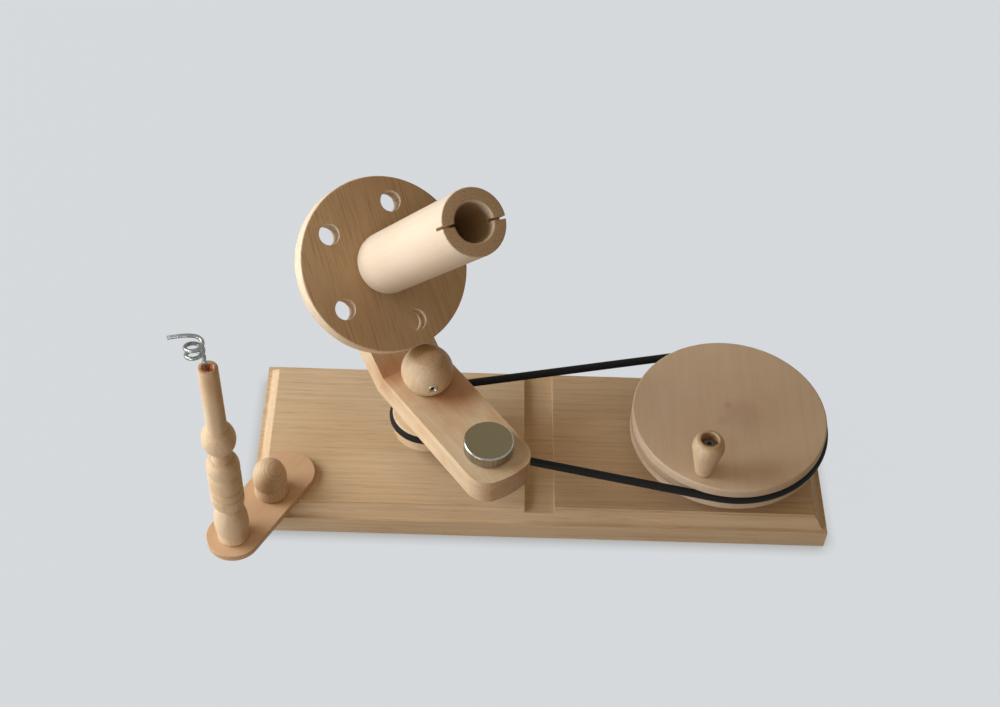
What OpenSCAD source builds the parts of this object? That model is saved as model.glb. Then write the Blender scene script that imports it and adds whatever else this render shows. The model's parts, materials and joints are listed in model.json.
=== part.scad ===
// Hand-cranked wooden ball winder for yarn.
// A crank wheel drives a small pulley through a round belt. The pulley carries a cranked
// arm, and on the arm's raised limb the winding disc turns as its rim rolls round a fixed dome.
// Frame: origin at the centre of the board's underside, +X towards the drive wheel,
// +Z up, and the crank side faces -Y.

/* [Base board] */
// Length of the board along X
board_length = 450; // [430:1:520]
// Width of the board along Y
board_width = 156; // [150:1:200]
// Full thickness of the board
board_thickness = 26.5; // [24:0.5:34]
// Height of the plain vertical edge below the moulding
plinth_height = 17; // [10:0.5:19]
// Width of the moulding from the plinth face to the flat top
moulding_inset = 10.5; // [7:0.5:14]
// Width of the flat ledge at the moulding's foot
moulding_ledge = 2.6; // [1:0.1:5]
// Height of the small square step at the moulding's top
moulding_step = 1.5; // [0.8:0.1:3]
// Width of the clamp groove across the middle of the board
dado_width = 23; // [15:0.5:40]
// Depth of the clamp groove
dado_depth = 4; // [2:0.5:8]

/* [Drive wheel] */
// Distance of the wheel's axle from the board's middle
wheel_offset = 148; // [140:1:160]
// Outer radius of the wheel
wheel_radius = 76.5; // [65:0.5:80]
// Thickness of the wheel
wheel_thickness = 23; // [20:0.5:30]
// Height of the wheel's underside above the board
wheel_lift = 16; // [12:0.5:24]
// Rounding of the wheel's two rims
wheel_edge = 1.5; // [0.5:0.1:3]

/* [Belt] */
// Diameter of the round rubber belt
belt_diameter = 6.4; // [4:0.1:7.5]
// Depth of the belt's centre line below the rims
belt_sink = 0.6; // [0.2:0.1:2]

/* [Crank knob] */
// Distance of the knob from the wheel's axle
crank_throw = 63.5; // [40:0.5:64]
// Direction of the knob from the wheel's axle at rest
crank_azimuth = -113.5; // [-180:0.5:180]
// Height of the turned knob
crank_height = 38.5; // [32:0.5:60]
// Largest radius of the knob
crank_radius = 12.3; // [10.5:0.1:16]
// Radius of the knob's foot
crank_foot_radius = 6.6; // [6:0.1:9]
// Height at which the knob is widest
crank_belly_height = 28.5; // [24:0.5:30]
// Radius of the screw well in the knob's top
crank_well_radius = 6.9; // [6.5:0.1:8]
// Depth of the screw well
crank_well_depth = 9; // [6:0.5:14]

/* [Rotor] */
// Distance of the rotor's post from the board's middle
rotor_offset = 90; // [80:1:100]
// Radius of the pulley's flanges
pulley_radius = 27; // [26:0.5:34]
// Height of the pulley from its underside to the arm
pulley_height = 31; // [28:0.5:40]
// Height of the belt groove above the pulley's underside
pulley_groove_height = 14; // [10:0.5:18]
// Radius of the pulley's hub above the groove
pulley_hub_radius = 26; // [24:0.5:27]
// Height of the flange above the belt groove's middle
pulley_flange_height = 5.5; // [4:0.5:10]
// Direction in which the arm's flat end points at rest
arm_azimuth = -53.6; // [-180:0.5:180]
// Width of the arm
arm_width = 53.4; // [50:0.1:70]
// Thickness of the arm's flat part
arm_thickness = 22.5; // [18:0.5:28]
// Reach of the arm's flat end from the post
arm_reach = 111; // [104:0.5:130]
// Radius of the corners at both ends of the arm
arm_corner = 19.5; // [8:0.5:24]
// Radius of the shallow curve across both ends
arm_end_curve = 60; // [40:1:120]
// Distance from the post back to the bend on the arm's top
bend_setback = 21; // [20:0.5:26]
// Thickness of the raised limb
limb_thickness = 22; // [18:0.5:26]
// Radius of the limb's rounded end round the spindle axle
limb_end_radius = 15; // [14:0.5:22]
// Distance below the spindle axle at which the limb starts to taper
limb_taper_start = 55; // [40:1:58]

/* [Counterweight] */
// Distance of the counterweight from the post
weight_reach = 81; // [60:0.5:86]
// Radius of the steel counterweight
weight_radius = 18.7; // [14:0.1:24]
// Height of the counterweight
weight_height = 10.5; // [8:0.5:20]
// Chamfer round the counterweight's top and bottom
weight_chamfer = 0.9; // [0.3:0.1:2]

/* [Friction dome] */
// Radius of the dome that the disc's rim rolls on
dome_radius = 20; // [18:0.1:22]
// Height of the dome's centre above the arm's top
dome_centre_height = 13; // [11:0.1:18]
// Half angle of the cone that ends the dome in a blunt point
dome_cap_angle = 32; // [10:1:34]
// Height of that point above the dome's centre
dome_point_height = 19.4; // [18:0.1:20]
// Direction of the set screw in the dome
set_screw_azimuth = -75.5; // [-180:0.5:180]
// Height of the set screw above the dome's centre
set_screw_height = 0; // [-4:0.1:4]

/* [Spindle] */
// Angle of the spindle's axis above the horizontal
spindle_elevation = 49.3; // [47:0.1:54]
// Radius of the winding disc
disc_radius = 66.5; // [62:0.5:70]
// Thickness of the winding disc
disc_thickness = 15; // [13:0.1:17]
// Rounding of the disc's two rims
disc_edge = 1.4; // [0.5:0.1:2.5]
// Distance of the dome's centre behind the disc's face
disc_contact_depth = 15.4; // [9:0.1:17]
// Radius of each of the holes through the disc
disc_hole_radius = 8; // [5:0.1:10]
// Number of holes through the disc
disc_hole_count = 5; // [3:1:6]
// Distance of the holes from the disc's centre
disc_hole_pitch_radius = 48; // [40:0.5:50]
// Direction of the first hole, counted from the dome's side
disc_hole_phase = 4; // [0:1:72]
// Length of the winding tube in front of the disc
tube_length = 167.6; // [120:0.1:200]
// Outer radius of the winding tube
tube_radius = 23.4; // [22:0.1:28]
// Radius of the tube's open bore
tube_bore_radius = 13.8; // [12.5:0.1:16]
// Height of the open bore's floor above the disc's face
tube_floor = 47.6; // [40:0.1:70]
// Rounding at the tube's foot
tube_foot_round = 4; // [1:0.1:6]
// Width of the two yarn slots in the tube's mouth
slot_width = 2.1; // [1.5:0.1:4]
// Depth of the yarn slots
slot_depth = 10; // [5:0.5:20]
// Direction of the yarn slots, counted from the dome's side
slot_angle = 76; // [0:1:180]

/* [Yarn guide link] */
// Distance of the clamp stud from the board's left end
stud_from_end = 17; // [16:0.5:30]
// Distance of the clamp stud from the board's front edge
stud_from_front = 14.1; // [14:0.1:30]
// Direction of the link from the post towards the board
link_azimuth = 59.8; // [30:0.1:90]
// Distance between the post and the clamp stud
link_span = 49; // [40:0.5:70]
// Length of the link beyond the clamp stud to its end's centre
link_tail = 22.3; // [15:0.1:30]
// Half width of the link
link_half_width = 20.7; // [17:0.1:26]
// Thickness of the link
link_thickness = 5.5; // [4.5:0.1:9]

/* [Yarn guide post] */
// Radius of the post's foot collar
foot_radius = 12; // [11:0.1:15]
// Height of the foot collar
foot_height = 11; // [8:0.5:16]
// Largest radius of the vase above the collar
vase_radius = 13; // [12:0.1:16]
// Height of the vase
vase_height = 28; // [22:0.5:40]
// Radius of the neck above the vase
neck_radius = 8.5; // [7:0.1:10]
// Radius of the ringed barrel
barrel_radius = 12.3; // [11:0.1:16]
// Height of the ringed barrel
barrel_height = 55; // [50:0.5:70]
// Heights of the barrel's three grooves above the vase
low_groove_height = 14; // [12:0.5:18]
middle_groove_height = 23; // [21:0.5:31]
high_groove_height = 39; // [36:0.5:42]
// Depth of the barrel's grooves
barrel_groove_depth = 1.2; // [0.6:0.1:2]
// Height of the ball section
ball_section_height = 40; // [36:0.5:50]
// Radius of the ball across the post
ball_radius = 12.4; // [11:0.1:16]
// Half height of the ball along the post
ball_half_height = 15.5; // [13:0.1:17]
// Radius of the stem where it leaves the ball
stem_root_radius = 7.3; // [6.5:0.1:9]
// Radius of the stem at its top
stem_radius = 7; // [6.5:0.1:9]
// Length of the stem above the ball section
stem_length = 56; // [40:1:80]
// Radius of the well in the stem's top
well_radius = 4.4; // [4:0.1:5.4]
// Depth of the well in the stem's top
well_depth = 3; // [2:0.1:6]

/* [Wire eye] */
// Diameter of the wire
wire_diameter = 2.8; // [2:0.1:3]
// Radius of the coil at the wire's centre line
coil_radius = 5.9; // [5:0.1:8]
// Rise of the coil in one turn
coil_pitch = 6.4; // [5.5:0.1:10]
// Number of turns before the tail leaves
coil_turns = 2.25; // [1.25:1:3.25]
// Distance of the coil's axis from the post's axis
coil_offset = 7.2; // [7:0.1:12]
// Backward tilt of the coil's axis
coil_tilt = 8; // [0:1:20]
// Height of the coil's start above the stem's top
coil_lift = 8.4; // [8:0.1:14]
// Length of the straight tail
tail_length = 18; // [12:0.5:24]
// Drop of the tail's end below the coil's end
tail_drop = 2.5; // [0:0.1:6]
// Depth to which the wire is set in the stem
wire_set_depth = 14; // [8:0.5:20]
// Direction from the post to the coil, counted from the link
coil_azimuth = 120.2; // [-180:0.1:180]

/* [Guide knob] */
// Radius of the acorn knob
acorn_radius = 13; // [11:0.1:16]
// Height of the acorn knob
acorn_height = 34.5; // [28:0.5:42]
// Height of the knob's straight side
acorn_side_height = 19; // [15:0.5:24]
// Height of the groove above the knob's foot
acorn_groove_height = 11.5; // [7:0.5:13]
// Depth of that groove
acorn_groove_depth = 0.7; // [0.4:0.1:1.2]

/* [Axles and fixings] */
// Radius of the steel post and of both steel axles
axle_radius = 6; // [5:0.1:6.5]
// Wall of the flanged bronze bushes
bush_wall = 2; // [1.5:0.1:2.2]
// Thickness of the bushes' flanges
bush_flange = 1; // [0.8:0.1:2]
// Width of the bushes' flanges beyond the barrel
bush_lip = 2.5; // [1.5:0.1:3]
// Outer radius of the steel spacing collars
collar_radius = 11.5; // [10:0.1:13]
// Radius of the nuts across their corners
nut_radius = 10.4; // [9:0.1:11]
// Height of the nuts
nut_height = 6; // [5:0.1:7]
// Radius of the washers
washer_radius = 12; // [11.5:0.1:13]
// Thickness of the washers
washer_thickness = 1.6; // [1:0.1:2]
// Radius of the wood screws' shanks
screw_radius = 2.2; // [1.8:0.1:2.5]
// Radius of the wood screws' heads
screw_head_radius = 4.4; // [4:0.1:4.6]
// Height of the wood screws' heads
screw_head_height = 2.6; // [2:0.1:3.2]
// Length of the disc's and the pulley's screws
screw_length = 34; // [30:0.5:36]
// Depth of the pulley's screw heads below its underside
pulley_screw_inset = 6; // [4:0.5:8]
// Length of the pulley's bush
pulley_bush_length = 20; // [14:0.5:24]
// Length of the arm's bush
arm_bush_length = 18; // [12:0.5:18]
// Height of the tube's bush above the disc's face
tube_bush_lift = 14; // [4:0.5:16]
// Height of the nut on the raised limb
lock_nut_height = 8; // [6:0.5:9]
// Height of the spindle axle's head
axle_head_height = 6; // [5:0.1:8]
// Radius of the counterweight's screw
weight_screw_radius = 3; // [2.5:0.1:3.5]
// Radius of the counterweight's screw head
weight_screw_head_radius = 6; // [5:0.1:7]
// Depth of the counterweight's screw in the weight
weight_screw_depth = 7; // [4:0.5:7.5]
// Length of the screw in the guide post's foot
post_screw_length = 35; // [25:0.5:45]
// Length of the clamp stud inside the acorn knob
stud_grip = 20; // [14:0.5:24]
// Radius of the clamp stud
stud_radius = 3; // [2.5:0.1:3.2]
// Outer radius of the set screw's insert
insert_radius = 3.5; // [3.4:0.1:4.5]
// Radius of the set screw
set_screw_radius = 2.5; // [2:0.1:2.7]

/* [Fits] */
// Radial clearance of a shaft running in its bush
running_fit = 0.06; // [0.03:0.01:0.1]
// Radial clearance of a fixed piece in its hole
fixed_fit = 0.05; // [0.03:0.01:0.1]
// Clearance between faces that move past each other
face_gap = 0.3; // [0.2:0.05:0.4]
// Clearance between the link and the faces that clamp it
link_slip = 0.2; // [0.1:0.05:0.3]
// Radial clearance of the belt in its grooves
belt_clearance = 0.3; // [0.2:0.05:0.5]

/* [Hidden] */
$fn = 96;
// A cut runs this far past the face it opens
over = 1;
// Colours
pale_wood = "#d9b98c";
board_wood = "#c9a06c";
link_wood = "#cf9c6a";
steel = "#b9bcc0";
bronze = "#b08a4a";
rubber = "#26272a";

// Bushes
bush_radius = axle_radius + bush_wall;
flange_radius = bush_radius + bush_lip;
bush_bore_radius = axle_radius + running_fit;
// Recesses under the board for a nut and its washer
recess_radius = washer_radius + 1.5;
recess_depth = nut_height + washer_thickness + 1.4;
// Heights of the drive, from the board upwards
wheel_bottom = board_thickness + wheel_lift;
wheel_top = wheel_bottom + wheel_thickness;
belt_height = wheel_bottom + wheel_thickness / 2;
pulley_bottom = belt_height - pulley_groove_height;
arm_bottom = pulley_bottom + pulley_height;
arm_top = arm_bottom + arm_thickness;
dome_centre = arm_top + dome_centre_height;
dome_bottom = arm_top + bush_flange + face_gap;
post_top = dome_centre + dome_radius / 2;
axle_top = wheel_top - 6;
// Belt run between the two groove circles
wheel_belt_radius = wheel_radius - belt_sink;
pulley_belt_radius = pulley_radius - belt_sink;
axle_distance = wheel_offset + rotor_offset;
belt_drop = wheel_belt_radius - pulley_belt_radius;
belt_wrap = acos(-belt_drop / axle_distance);
wheel_steps = 36;
pulley_steps = 20;
// Heights of the crank knob
crank_bottom = wheel_top + face_gap;
crank_floor = crank_bottom + crank_height - crank_well_depth;
sleeve_radius = screw_radius + 1.4;
sleeve_top = crank_floor + face_gap;
// Spindle: the disc's rim rests on the dome, and the axis is square to the raised limb.
// Positions are [distance from the post along the arm, height].
along_axis = [cos(spindle_elevation), sin(spindle_elevation)];
up_limb = [-sin(spindle_elevation), cos(spindle_elevation)];
// Beyond this depth the dome meets the rounding of the disc's rear rim
rim_depth = disc_thickness - disc_edge;
past_rim = max(0, disc_contact_depth - rim_depth);
rim_distance = disc_radius - disc_edge + sqrt((dome_radius + face_gap + disc_edge) ^ 2 - past_rim ^ 2);
disc_face = [0, dome_centre] + rim_distance * up_limb + disc_contact_depth * along_axis;
bend_top = [-bend_setback, arm_top];
limb_front = (bend_top - disc_face) * along_axis;
limb_back = limb_front - limb_thickness;
limb_reach = (disc_face - bend_top) * up_limb;
limb_length = limb_reach + limb_end_radius;
limb_end_top = bend_top + limb_length * up_limb;
limb_end_bottom = limb_end_top - limb_thickness * along_axis;
bend_slide = (arm_thickness - limb_thickness * along_axis[1]) / up_limb[1];
bend_bottom = bend_top - limb_thickness * along_axis - bend_slide * up_limb;
disc_back = -disc_thickness;
nut_well_floor = tube_floor - bush_flange - face_gap - washer_thickness - nut_height - 2.5;
nut_well_radius = nut_radius + 2.2;
end_washer_start = nut_well_floor + bush_flange + face_gap;
end_nut_start = end_washer_start + washer_thickness;
axle_end = end_nut_start + nut_height + 1.5;
limb_recess_radius = nut_radius + 1.6;
weight_screw_end = arm_top + weight_screw_depth;
// Screw circles, between the bush and the outer wall
disc_screw_circle = (bush_radius + tube_radius) / 2;
pulley_screw_circle = (flange_radius + pulley_belt_radius - belt_diameter / 2) / 2 + 0.5;
// Guide
stud_x = stud_from_end - board_length / 2;
stud_y = stud_from_front - board_width / 2;
link_bottom = board_thickness + link_slip;
link_top = link_bottom + link_thickness;
post_base = link_top;
foot_top = foot_height;
vase_top = foot_top + vase_height;
barrel_top = vase_top + barrel_height;
ball_top = barrel_top + ball_section_height;
stem_top = ball_top + stem_length;
ball_centre = barrel_top + ball_section_height / 2 + 1.5;
acorn_bottom = link_top + link_slip;
stud_top = acorn_bottom + stud_grip;
tee_nut_radius = stud_radius + 1.5;
tee_nut_length = 14;
tee_flange_radius = 10;
tee_flange_thickness = 1.6;

// Points along an elliptical arc
function arc(centre, rx, ry, from, to, steps = 10) = [
  for (i = [0:steps])
    let (a = from + (to - from) * i / steps)
    [centre[0] + rx * cos(a), centre[1] + ry * sin(a)]
];
// Points along a quarter circle that rounds an edge
function rounding(centre, radius, from, to) = arc(centre, radius, radius, from, to, 6);
// Moulded edge of the board, from the plinth's foot up to the flat top
function moulded_edge(width, steps = 14) = concat(
  [[width / 2, 0], [width / 2, plinth_height]],
  [for (i = [0:steps]) [
    width / 2 - moulding_ledge - (moulding_inset - moulding_ledge) * i / steps,
    plinth_height + (board_thickness - moulding_step - plinth_height) * (1 - cos(180 * i / steps)) / 2
  ]],
  [[width / 2 - moulding_inset, board_thickness]]
);
function mirrored(points) = [for (i = [len(points) - 1:-1:0]) [-points[i][0], points[i][1]]];
function unit(v) = v / norm(v);

// Places a child at the rotor's post, with +X along the arm
module on_rotor() {
  translate([-rotor_offset, 0, 0]) rotate([0, 0, arm_azimuth]) children();
}
// Places a child on the spindle, with +Z along its axis from the disc's face
module on_spindle() {
  on_rotor() translate([disc_face[0], 0, disc_face[1]]) rotate([0, 90 - spindle_elevation, 0]) children();
}
module on_wheel() {
  translate([wheel_offset, 0, 0]) children();
}
module on_crank() {
  on_wheel() rotate([0, 0, crank_azimuth]) translate([crank_throw, 0, 0]) children();
}
module on_stud() {
  translate([stud_x, stud_y, 0]) rotate([0, 0, link_azimuth]) children();
}
module on_guide_post() {
  on_stud() translate([-link_span, 0, 0]) children();
}
// Solid ring between two heights
module ring(outer, inner, from, to) {
  difference() {
    translate([0, 0, from]) cylinder(r = outer, h = to - from);
    translate([0, 0, from - over]) cylinder(r = inner, h = to - from + 2 * over);
  }
}
module rod(radius, from, to) {
  translate([0, 0, from]) cylinder(r = radius, h = to - from);
}
module hex_nut(from, height, bore) {
  difference() {
    translate([0, 0, from]) cylinder(r = nut_radius, h = height, $fn = 6);
    rod(bore, from - over, from + height + over);
  }
}
// Flanged bush, its flange below the barrel and its axis upright
module flanged_bush(from, to, lip_from, lip_to) {
  difference() {
    union() {
      rod(bush_radius, from, to);
      rod(flange_radius, lip_from, lip_to);
    }
    rod(bush_bore_radius, min(from, lip_from) - over, max(to, lip_to) + over);
  }
}
// Groove for the belt round a wheel on the Z axis
module belt_groove(radius) {
  translate([0, 0, belt_height])
    rotate_extrude()
      translate([radius, 0]) circle(r = belt_diameter / 2 + belt_clearance, $fn = 48);
}
// Countersunk screw standing on its head, with a driver recess
module wood_screw(radius, head_radius, length) {
  difference() {
    union() {
      cylinder(r1 = head_radius, r2 = radius, h = screw_head_height);
      cylinder(r = radius, h = length);
    }
    translate([0, 0, -over]) cylinder(r = radius * 0.55, h = over + 1.2, $fn = 6);
  }
}
// Hole for that screw
module screw_hole(radius, head_radius, length) {
  translate([0, 0, -over]) cylinder(r = head_radius + fixed_fit, h = over);
  cylinder(r1 = head_radius + fixed_fit, r2 = radius + fixed_fit, h = screw_head_height);
  cylinder(r = radius + fixed_fit, h = length + 0.5);
}
// Outline of one end of the arm: corners rounded and the end slightly curved
module arm_end_outline(depth) {
  intersection() {
    union() {
      translate([-depth, -arm_width / 2]) square([depth - arm_corner, arm_width]);
      translate([-arm_corner - over, arm_corner - arm_width / 2])
        square([arm_corner + over, arm_width - 2 * arm_corner]);
      for (side = [-1, 1])
        translate([-arm_corner, side * (arm_width / 2 - arm_corner)]) circle(r = arm_corner);
    }
    translate([-arm_end_curve, 0]) circle(r = arm_end_curve);
  }
}
// What is cut away to shape an end that reaches to x = 0
module arm_end_cut(low, high) {
  depth = arm_corner + 4;
  translate([0, 0, low])
    linear_extrude(height = high - low)
      difference() {
        translate([-depth + 2, -arm_width]) square([depth + 10, 2 * arm_width]);
        arm_end_outline(depth);
      }
}

module base_board() {
  color(board_wood)
    difference() {
      intersection() {
        rotate([90, 0, 90])
          linear_extrude(height = board_length, center = true)
            polygon(concat(moulded_edge(board_width), mirrored(moulded_edge(board_width))));
        rotate([90, 0, 0])
          linear_extrude(height = board_width, center = true)
            polygon(concat(moulded_edge(board_length), mirrored(moulded_edge(board_length))));
      }
      translate([-dado_width / 2, -board_width / 2 - over, board_thickness - dado_depth])
        cube([dado_width, board_width + 2 * over, dado_depth + over]);
      for (x = [-rotor_offset, wheel_offset])
        translate([x, 0, 0]) {
          rod(axle_radius + fixed_fit, -over, board_thickness + over);
          rod(recess_radius, -over, recess_depth);
        }
      on_stud() {
        rod(stud_radius + 0.2, -over, board_thickness + over);
        rod(tee_nut_radius + fixed_fit, -over, tee_nut_length + fixed_fit);
        rod(tee_flange_radius + 0.3, -over, tee_flange_thickness + 0.6);
      }
    }
}
module centre_post() {
  color(steel) translate([-rotor_offset, 0, 0]) rod(axle_radius, 1.2, post_top);
}
module post_collar() {
  color(steel)
    translate([-rotor_offset, 0, 0])
      ring(collar_radius, axle_radius + fixed_fit, board_thickness, pulley_bottom - bush_flange - face_gap);
}
module underside_nuts() {
  color(steel)
    for (x = [-rotor_offset, wheel_offset])
      translate([x, 0, 0])
        hex_nut(recess_depth - washer_thickness - nut_height, nut_height, axle_radius + fixed_fit);
}
module underside_washers() {
  color(steel)
    for (x = [-rotor_offset, wheel_offset])
      translate([x, 0, 0])
        ring(washer_radius, axle_radius + fixed_fit, recess_depth - washer_thickness, recess_depth);
}
module friction_dome() {
  edge_angle = -asin((dome_centre - dome_bottom) / dome_radius);
  color(pale_wood)
    translate([-rotor_offset, 0, 0])
      difference() {
        rotate_extrude()
          polygon(concat(
            [[0, dome_bottom]],
            arc([0, dome_centre], dome_radius, dome_radius, edge_angle, 90 - dome_cap_angle, 26),
            [[0, dome_centre + dome_point_height]]
          ));
        rod(axle_radius + fixed_fit, dome_bottom - over, post_top + 0.4);
        on_set_screw() {
          rod(insert_radius + fixed_fit, dome_radius / 2, dome_radius + 2);
          rod(set_screw_radius + 0.1, 0, dome_radius);
        }
      }
}
// Places a child at the dome's centre line with +Z out along the set screw
module on_set_screw() {
  translate([0, 0, dome_centre + set_screw_height]) rotate([0, 90, set_screw_azimuth]) children();
}
module dome_insert() {
  color(steel)
    translate([-rotor_offset, 0, 0])
      on_set_screw()
        ring(insert_radius, set_screw_radius + fixed_fit, dome_radius / 2 + fixed_fit, dome_radius + 0.3);
}
module dome_set_screw() {
  color(steel)
    translate([-rotor_offset, 0, 0])
      on_set_screw()
        difference() {
          rod(set_screw_radius, axle_radius + fixed_fit, dome_radius - 0.8);
          translate([0, 0, dome_radius - 3.8])
            cylinder(r = set_screw_radius * 0.6, h = 4, $fn = 6);
        }
}
module wheel_axle() {
  color(steel) on_wheel() rod(axle_radius, 1.2, axle_top);
}
module wheel_collar() {
  color(steel)
    on_wheel()
      ring(collar_radius, axle_radius + fixed_fit, board_thickness, wheel_bottom - bush_flange - face_gap);
}
// Stations along the belt: [distance of the axle along X, groove radius, direction].
// The straight strands run between the last station on one wheel and the first on the next.
belt_stations = concat(
  [for (i = [0:wheel_steps]) [wheel_offset, wheel_belt_radius, belt_wrap * (2 * i / wheel_steps - 1)]],
  [for (i = [0:pulley_steps])
    [-rotor_offset, pulley_belt_radius, belt_wrap + (360 - 2 * belt_wrap) * i / pulley_steps]]
);
module drive_belt() {
  sides = 14;
  count = len(belt_stations);
  color(rubber)
    translate([0, 0, belt_height])
      polyhedron(
        points = [
          for (s = belt_stations, k = [0:sides - 1])
            let (reach = s[1] + belt_diameter / 2 * cos(360 * k / sides))
            [s[0] + reach * cos(s[2]), reach * sin(s[2]), -belt_diameter / 2 * sin(360 * k / sides)]
        ],
        faces = tube_sides(count, sides, count)
      );
}
module guide_tee_nut() {
  color(steel)
    on_stud()
      difference() {
        union() {
          rod(tee_nut_radius, 0.6, tee_nut_length);
          rod(tee_flange_radius, 0.6, 0.6 + tee_flange_thickness);
        }
        rod(stud_radius + fixed_fit, -over, tee_nut_length + over);
      }
}
module drive_wheel() {
  color(pale_wood)
    difference() {
      on_wheel()
        difference() {
          rotate_extrude()
            polygon(concat(
              [[0, wheel_bottom]],
              rounding([wheel_radius - wheel_edge, wheel_bottom + wheel_edge], wheel_edge, -90, 0),
              rounding([wheel_radius - wheel_edge, wheel_top - wheel_edge], wheel_edge, 0, 90),
              [[0, wheel_top]]
            ));
          belt_groove(wheel_belt_radius);
          rod(bush_radius + fixed_fit, wheel_bottom - over, axle_top + 0.8);
        }
      on_crank() rod(screw_radius + fixed_fit, wheel_bottom + 3, wheel_top + over);
    }
}
module wheel_bush() {
  color(bronze)
    on_wheel() flanged_bush(wheel_bottom, axle_top + 0.3, wheel_bottom - bush_flange, wheel_bottom);
}
module crank_screw() {
  head_bottom = sleeve_top + washer_thickness / 2;
  color(steel)
    on_crank()
      difference() {
        union() {
          rod(screw_radius, wheel_bottom + 3.4, head_bottom);
          rod(screw_head_radius, head_bottom, head_bottom + screw_head_height);
        }
        translate([0, 0, head_bottom + screw_head_height - 1.8]) cylinder(r = 1.9, h = 1.8 + over, $fn = 6);
      }
}
module crank_sleeve() {
  color(bronze) on_crank() ring(sleeve_radius, screw_radius + fixed_fit, wheel_top, sleeve_top);
}
module crank_washer() {
  washer_top = sleeve_top + washer_thickness / 2;
  color(steel)
    on_crank()
      ring(crank_well_radius - 0.7, screw_radius + fixed_fit, sleeve_top, washer_top);
}
module crank_knob() {
  top = crank_bottom + crank_height;
  belly = crank_bottom + crank_belly_height;
  rim = crank_well_radius + 0.8;
  color(pale_wood)
    on_crank()
      difference() {
        rotate_extrude()
          polygon(concat(
            [[0, crank_bottom]],
            arc([crank_foot_radius - 1.4, crank_bottom + 1.4], 1.4, 1.4, -90, -10, 4),
            arc([rim, belly], crank_radius - rim, crank_height - crank_belly_height, 0, 90, 14),
            [[0, top]]
          ));
        rod(sleeve_radius + running_fit, crank_bottom - over, top);
        rod(crank_well_radius, crank_floor, top + over);
      }
}
module pulley() {
  edge = 1;
  flange_top = belt_height + pulley_flange_height;
  color(pale_wood)
    on_rotor()
      difference() {
        rotate_extrude()
          polygon(concat(
            [[0, pulley_bottom]],
            rounding([pulley_radius - edge, pulley_bottom + edge], edge, -90, 0),
            rounding([pulley_radius - edge, flange_top - edge], edge, 0, 90),
            [[pulley_hub_radius, flange_top], [pulley_hub_radius, arm_bottom], [0, arm_bottom]]
          ));
        belt_groove(pulley_belt_radius);
        rod(bush_radius + fixed_fit, pulley_bottom - over, pulley_bottom + pulley_bush_length + 0.3);
        rod(axle_radius + 1, pulley_bottom, arm_bottom + over);
        pulley_screw_places() pulley_screw_hole();
      }
}
// The pulley's screws start deep in its underside and end in the arm
module pulley_screw_places() {
  for (i = [0:2])
    rotate([0, 0, 60 + 120 * i])
      translate([pulley_screw_circle, 0, pulley_bottom + pulley_screw_inset]) children();
}
module pulley_screw_hole() {
  screw_hole(screw_radius, screw_head_radius, screw_length);
  rod(screw_head_radius + fixed_fit, -pulley_screw_inset - over, 0);
}
module pulley_bush() {
  top = pulley_bottom + pulley_bush_length;
  color(bronze)
    on_rotor() flanged_bush(pulley_bottom, top, pulley_bottom - bush_flange, pulley_bottom);
}
module pulley_screws() {
  color(steel)
    on_rotor() pulley_screw_places() wood_screw(screw_radius, screw_head_radius, screw_length);
}
// The arm is two pieces of wood with a glued mitre at the bend
module rotor_arm() {
  color(pale_wood)
    on_rotor()
      difference() {
        arm_side([[arm_reach, arm_bottom], [arm_reach, arm_top], bend_top, bend_bottom]);
        translate([arm_reach, 0, 0]) arm_end_cut(arm_bottom - over, arm_top + over);
        rod(bush_radius + fixed_fit, arm_bottom - over, arm_top + over);
        pulley_screw_places() pulley_screw_hole();
        translate([weight_reach, 0, arm_bottom])
          screw_hole(weight_screw_radius, weight_screw_head_radius, arm_thickness + over);
      }
}
// Side outline of an arm piece, as wide as the arm
module arm_side(points) {
  rotate([90, 0, 0]) linear_extrude(height = arm_width, center = true) polygon(points);
}
module rotor_limb() {
  color(pale_wood)
    difference() {
      intersection() {
        on_rotor() arm_side([bend_bottom, bend_top, limb_end_top, limb_end_bottom]);
        on_spindle()
          rotate([0, 0, 180])
            translate([0, 0, limb_back - over])
              linear_extrude(height = limb_thickness + 2 * over) polygon(limb_outline());
      }
      on_spindle() {
        rod(axle_radius + fixed_fit, limb_back - over, limb_front + over);
        rod(limb_recess_radius, limb_back - over, limb_back + axle_head_height + 1);
      }
    }
}
// Front outline of the limb, +X up the limb from the axle: straight, tapered, then round
function limb_outline() =
  let (
    half = arm_width / 2,
    shoulder = norm([half, limb_taper_start]),
    turn = 90 - atan2(limb_taper_start, half) + acos(limb_end_radius / shoulder) - 90,
    low = -limb_reach - limb_thickness * 2
  )
  concat(
    [[low, -half], [-limb_taper_start, -half]],
    arc([0, 0], limb_end_radius, limb_end_radius, turn - 90, 90 - turn, 24),
    [[-limb_taper_start, half], [low, half]]
  );
module arm_bush() {
  color(bronze)
    on_rotor() flanged_bush(arm_top - arm_bush_length, arm_top, arm_top, arm_top + bush_flange);
}
module counterweight() {
  top = arm_top + weight_height;
  color("#8d8b84")
    on_rotor()
      translate([weight_reach, 0, 0])
        difference() {
          rotate_extrude()
            polygon([
              [0, arm_top], [weight_radius - weight_chamfer, arm_top],
              [weight_radius, arm_top + weight_chamfer], [weight_radius, top - weight_chamfer],
              [weight_radius - weight_chamfer, top], [0, top]
            ]);
          rod(weight_screw_radius + fixed_fit, arm_top - over, weight_screw_end + 0.6);
        }
}
module counterweight_screw() {
  color(steel)
    on_rotor()
      translate([weight_reach, 0, arm_bottom])
        wood_screw(weight_screw_radius, weight_screw_head_radius, weight_screw_end - arm_bottom);
}
module spindle_axle() {
  color(steel)
    on_spindle() {
      rod(axle_radius, limb_back + 1, axle_end);
      translate([0, 0, limb_back + 1]) cylinder(r = nut_radius, h = axle_head_height, $fn = 6);
    }
}
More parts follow.
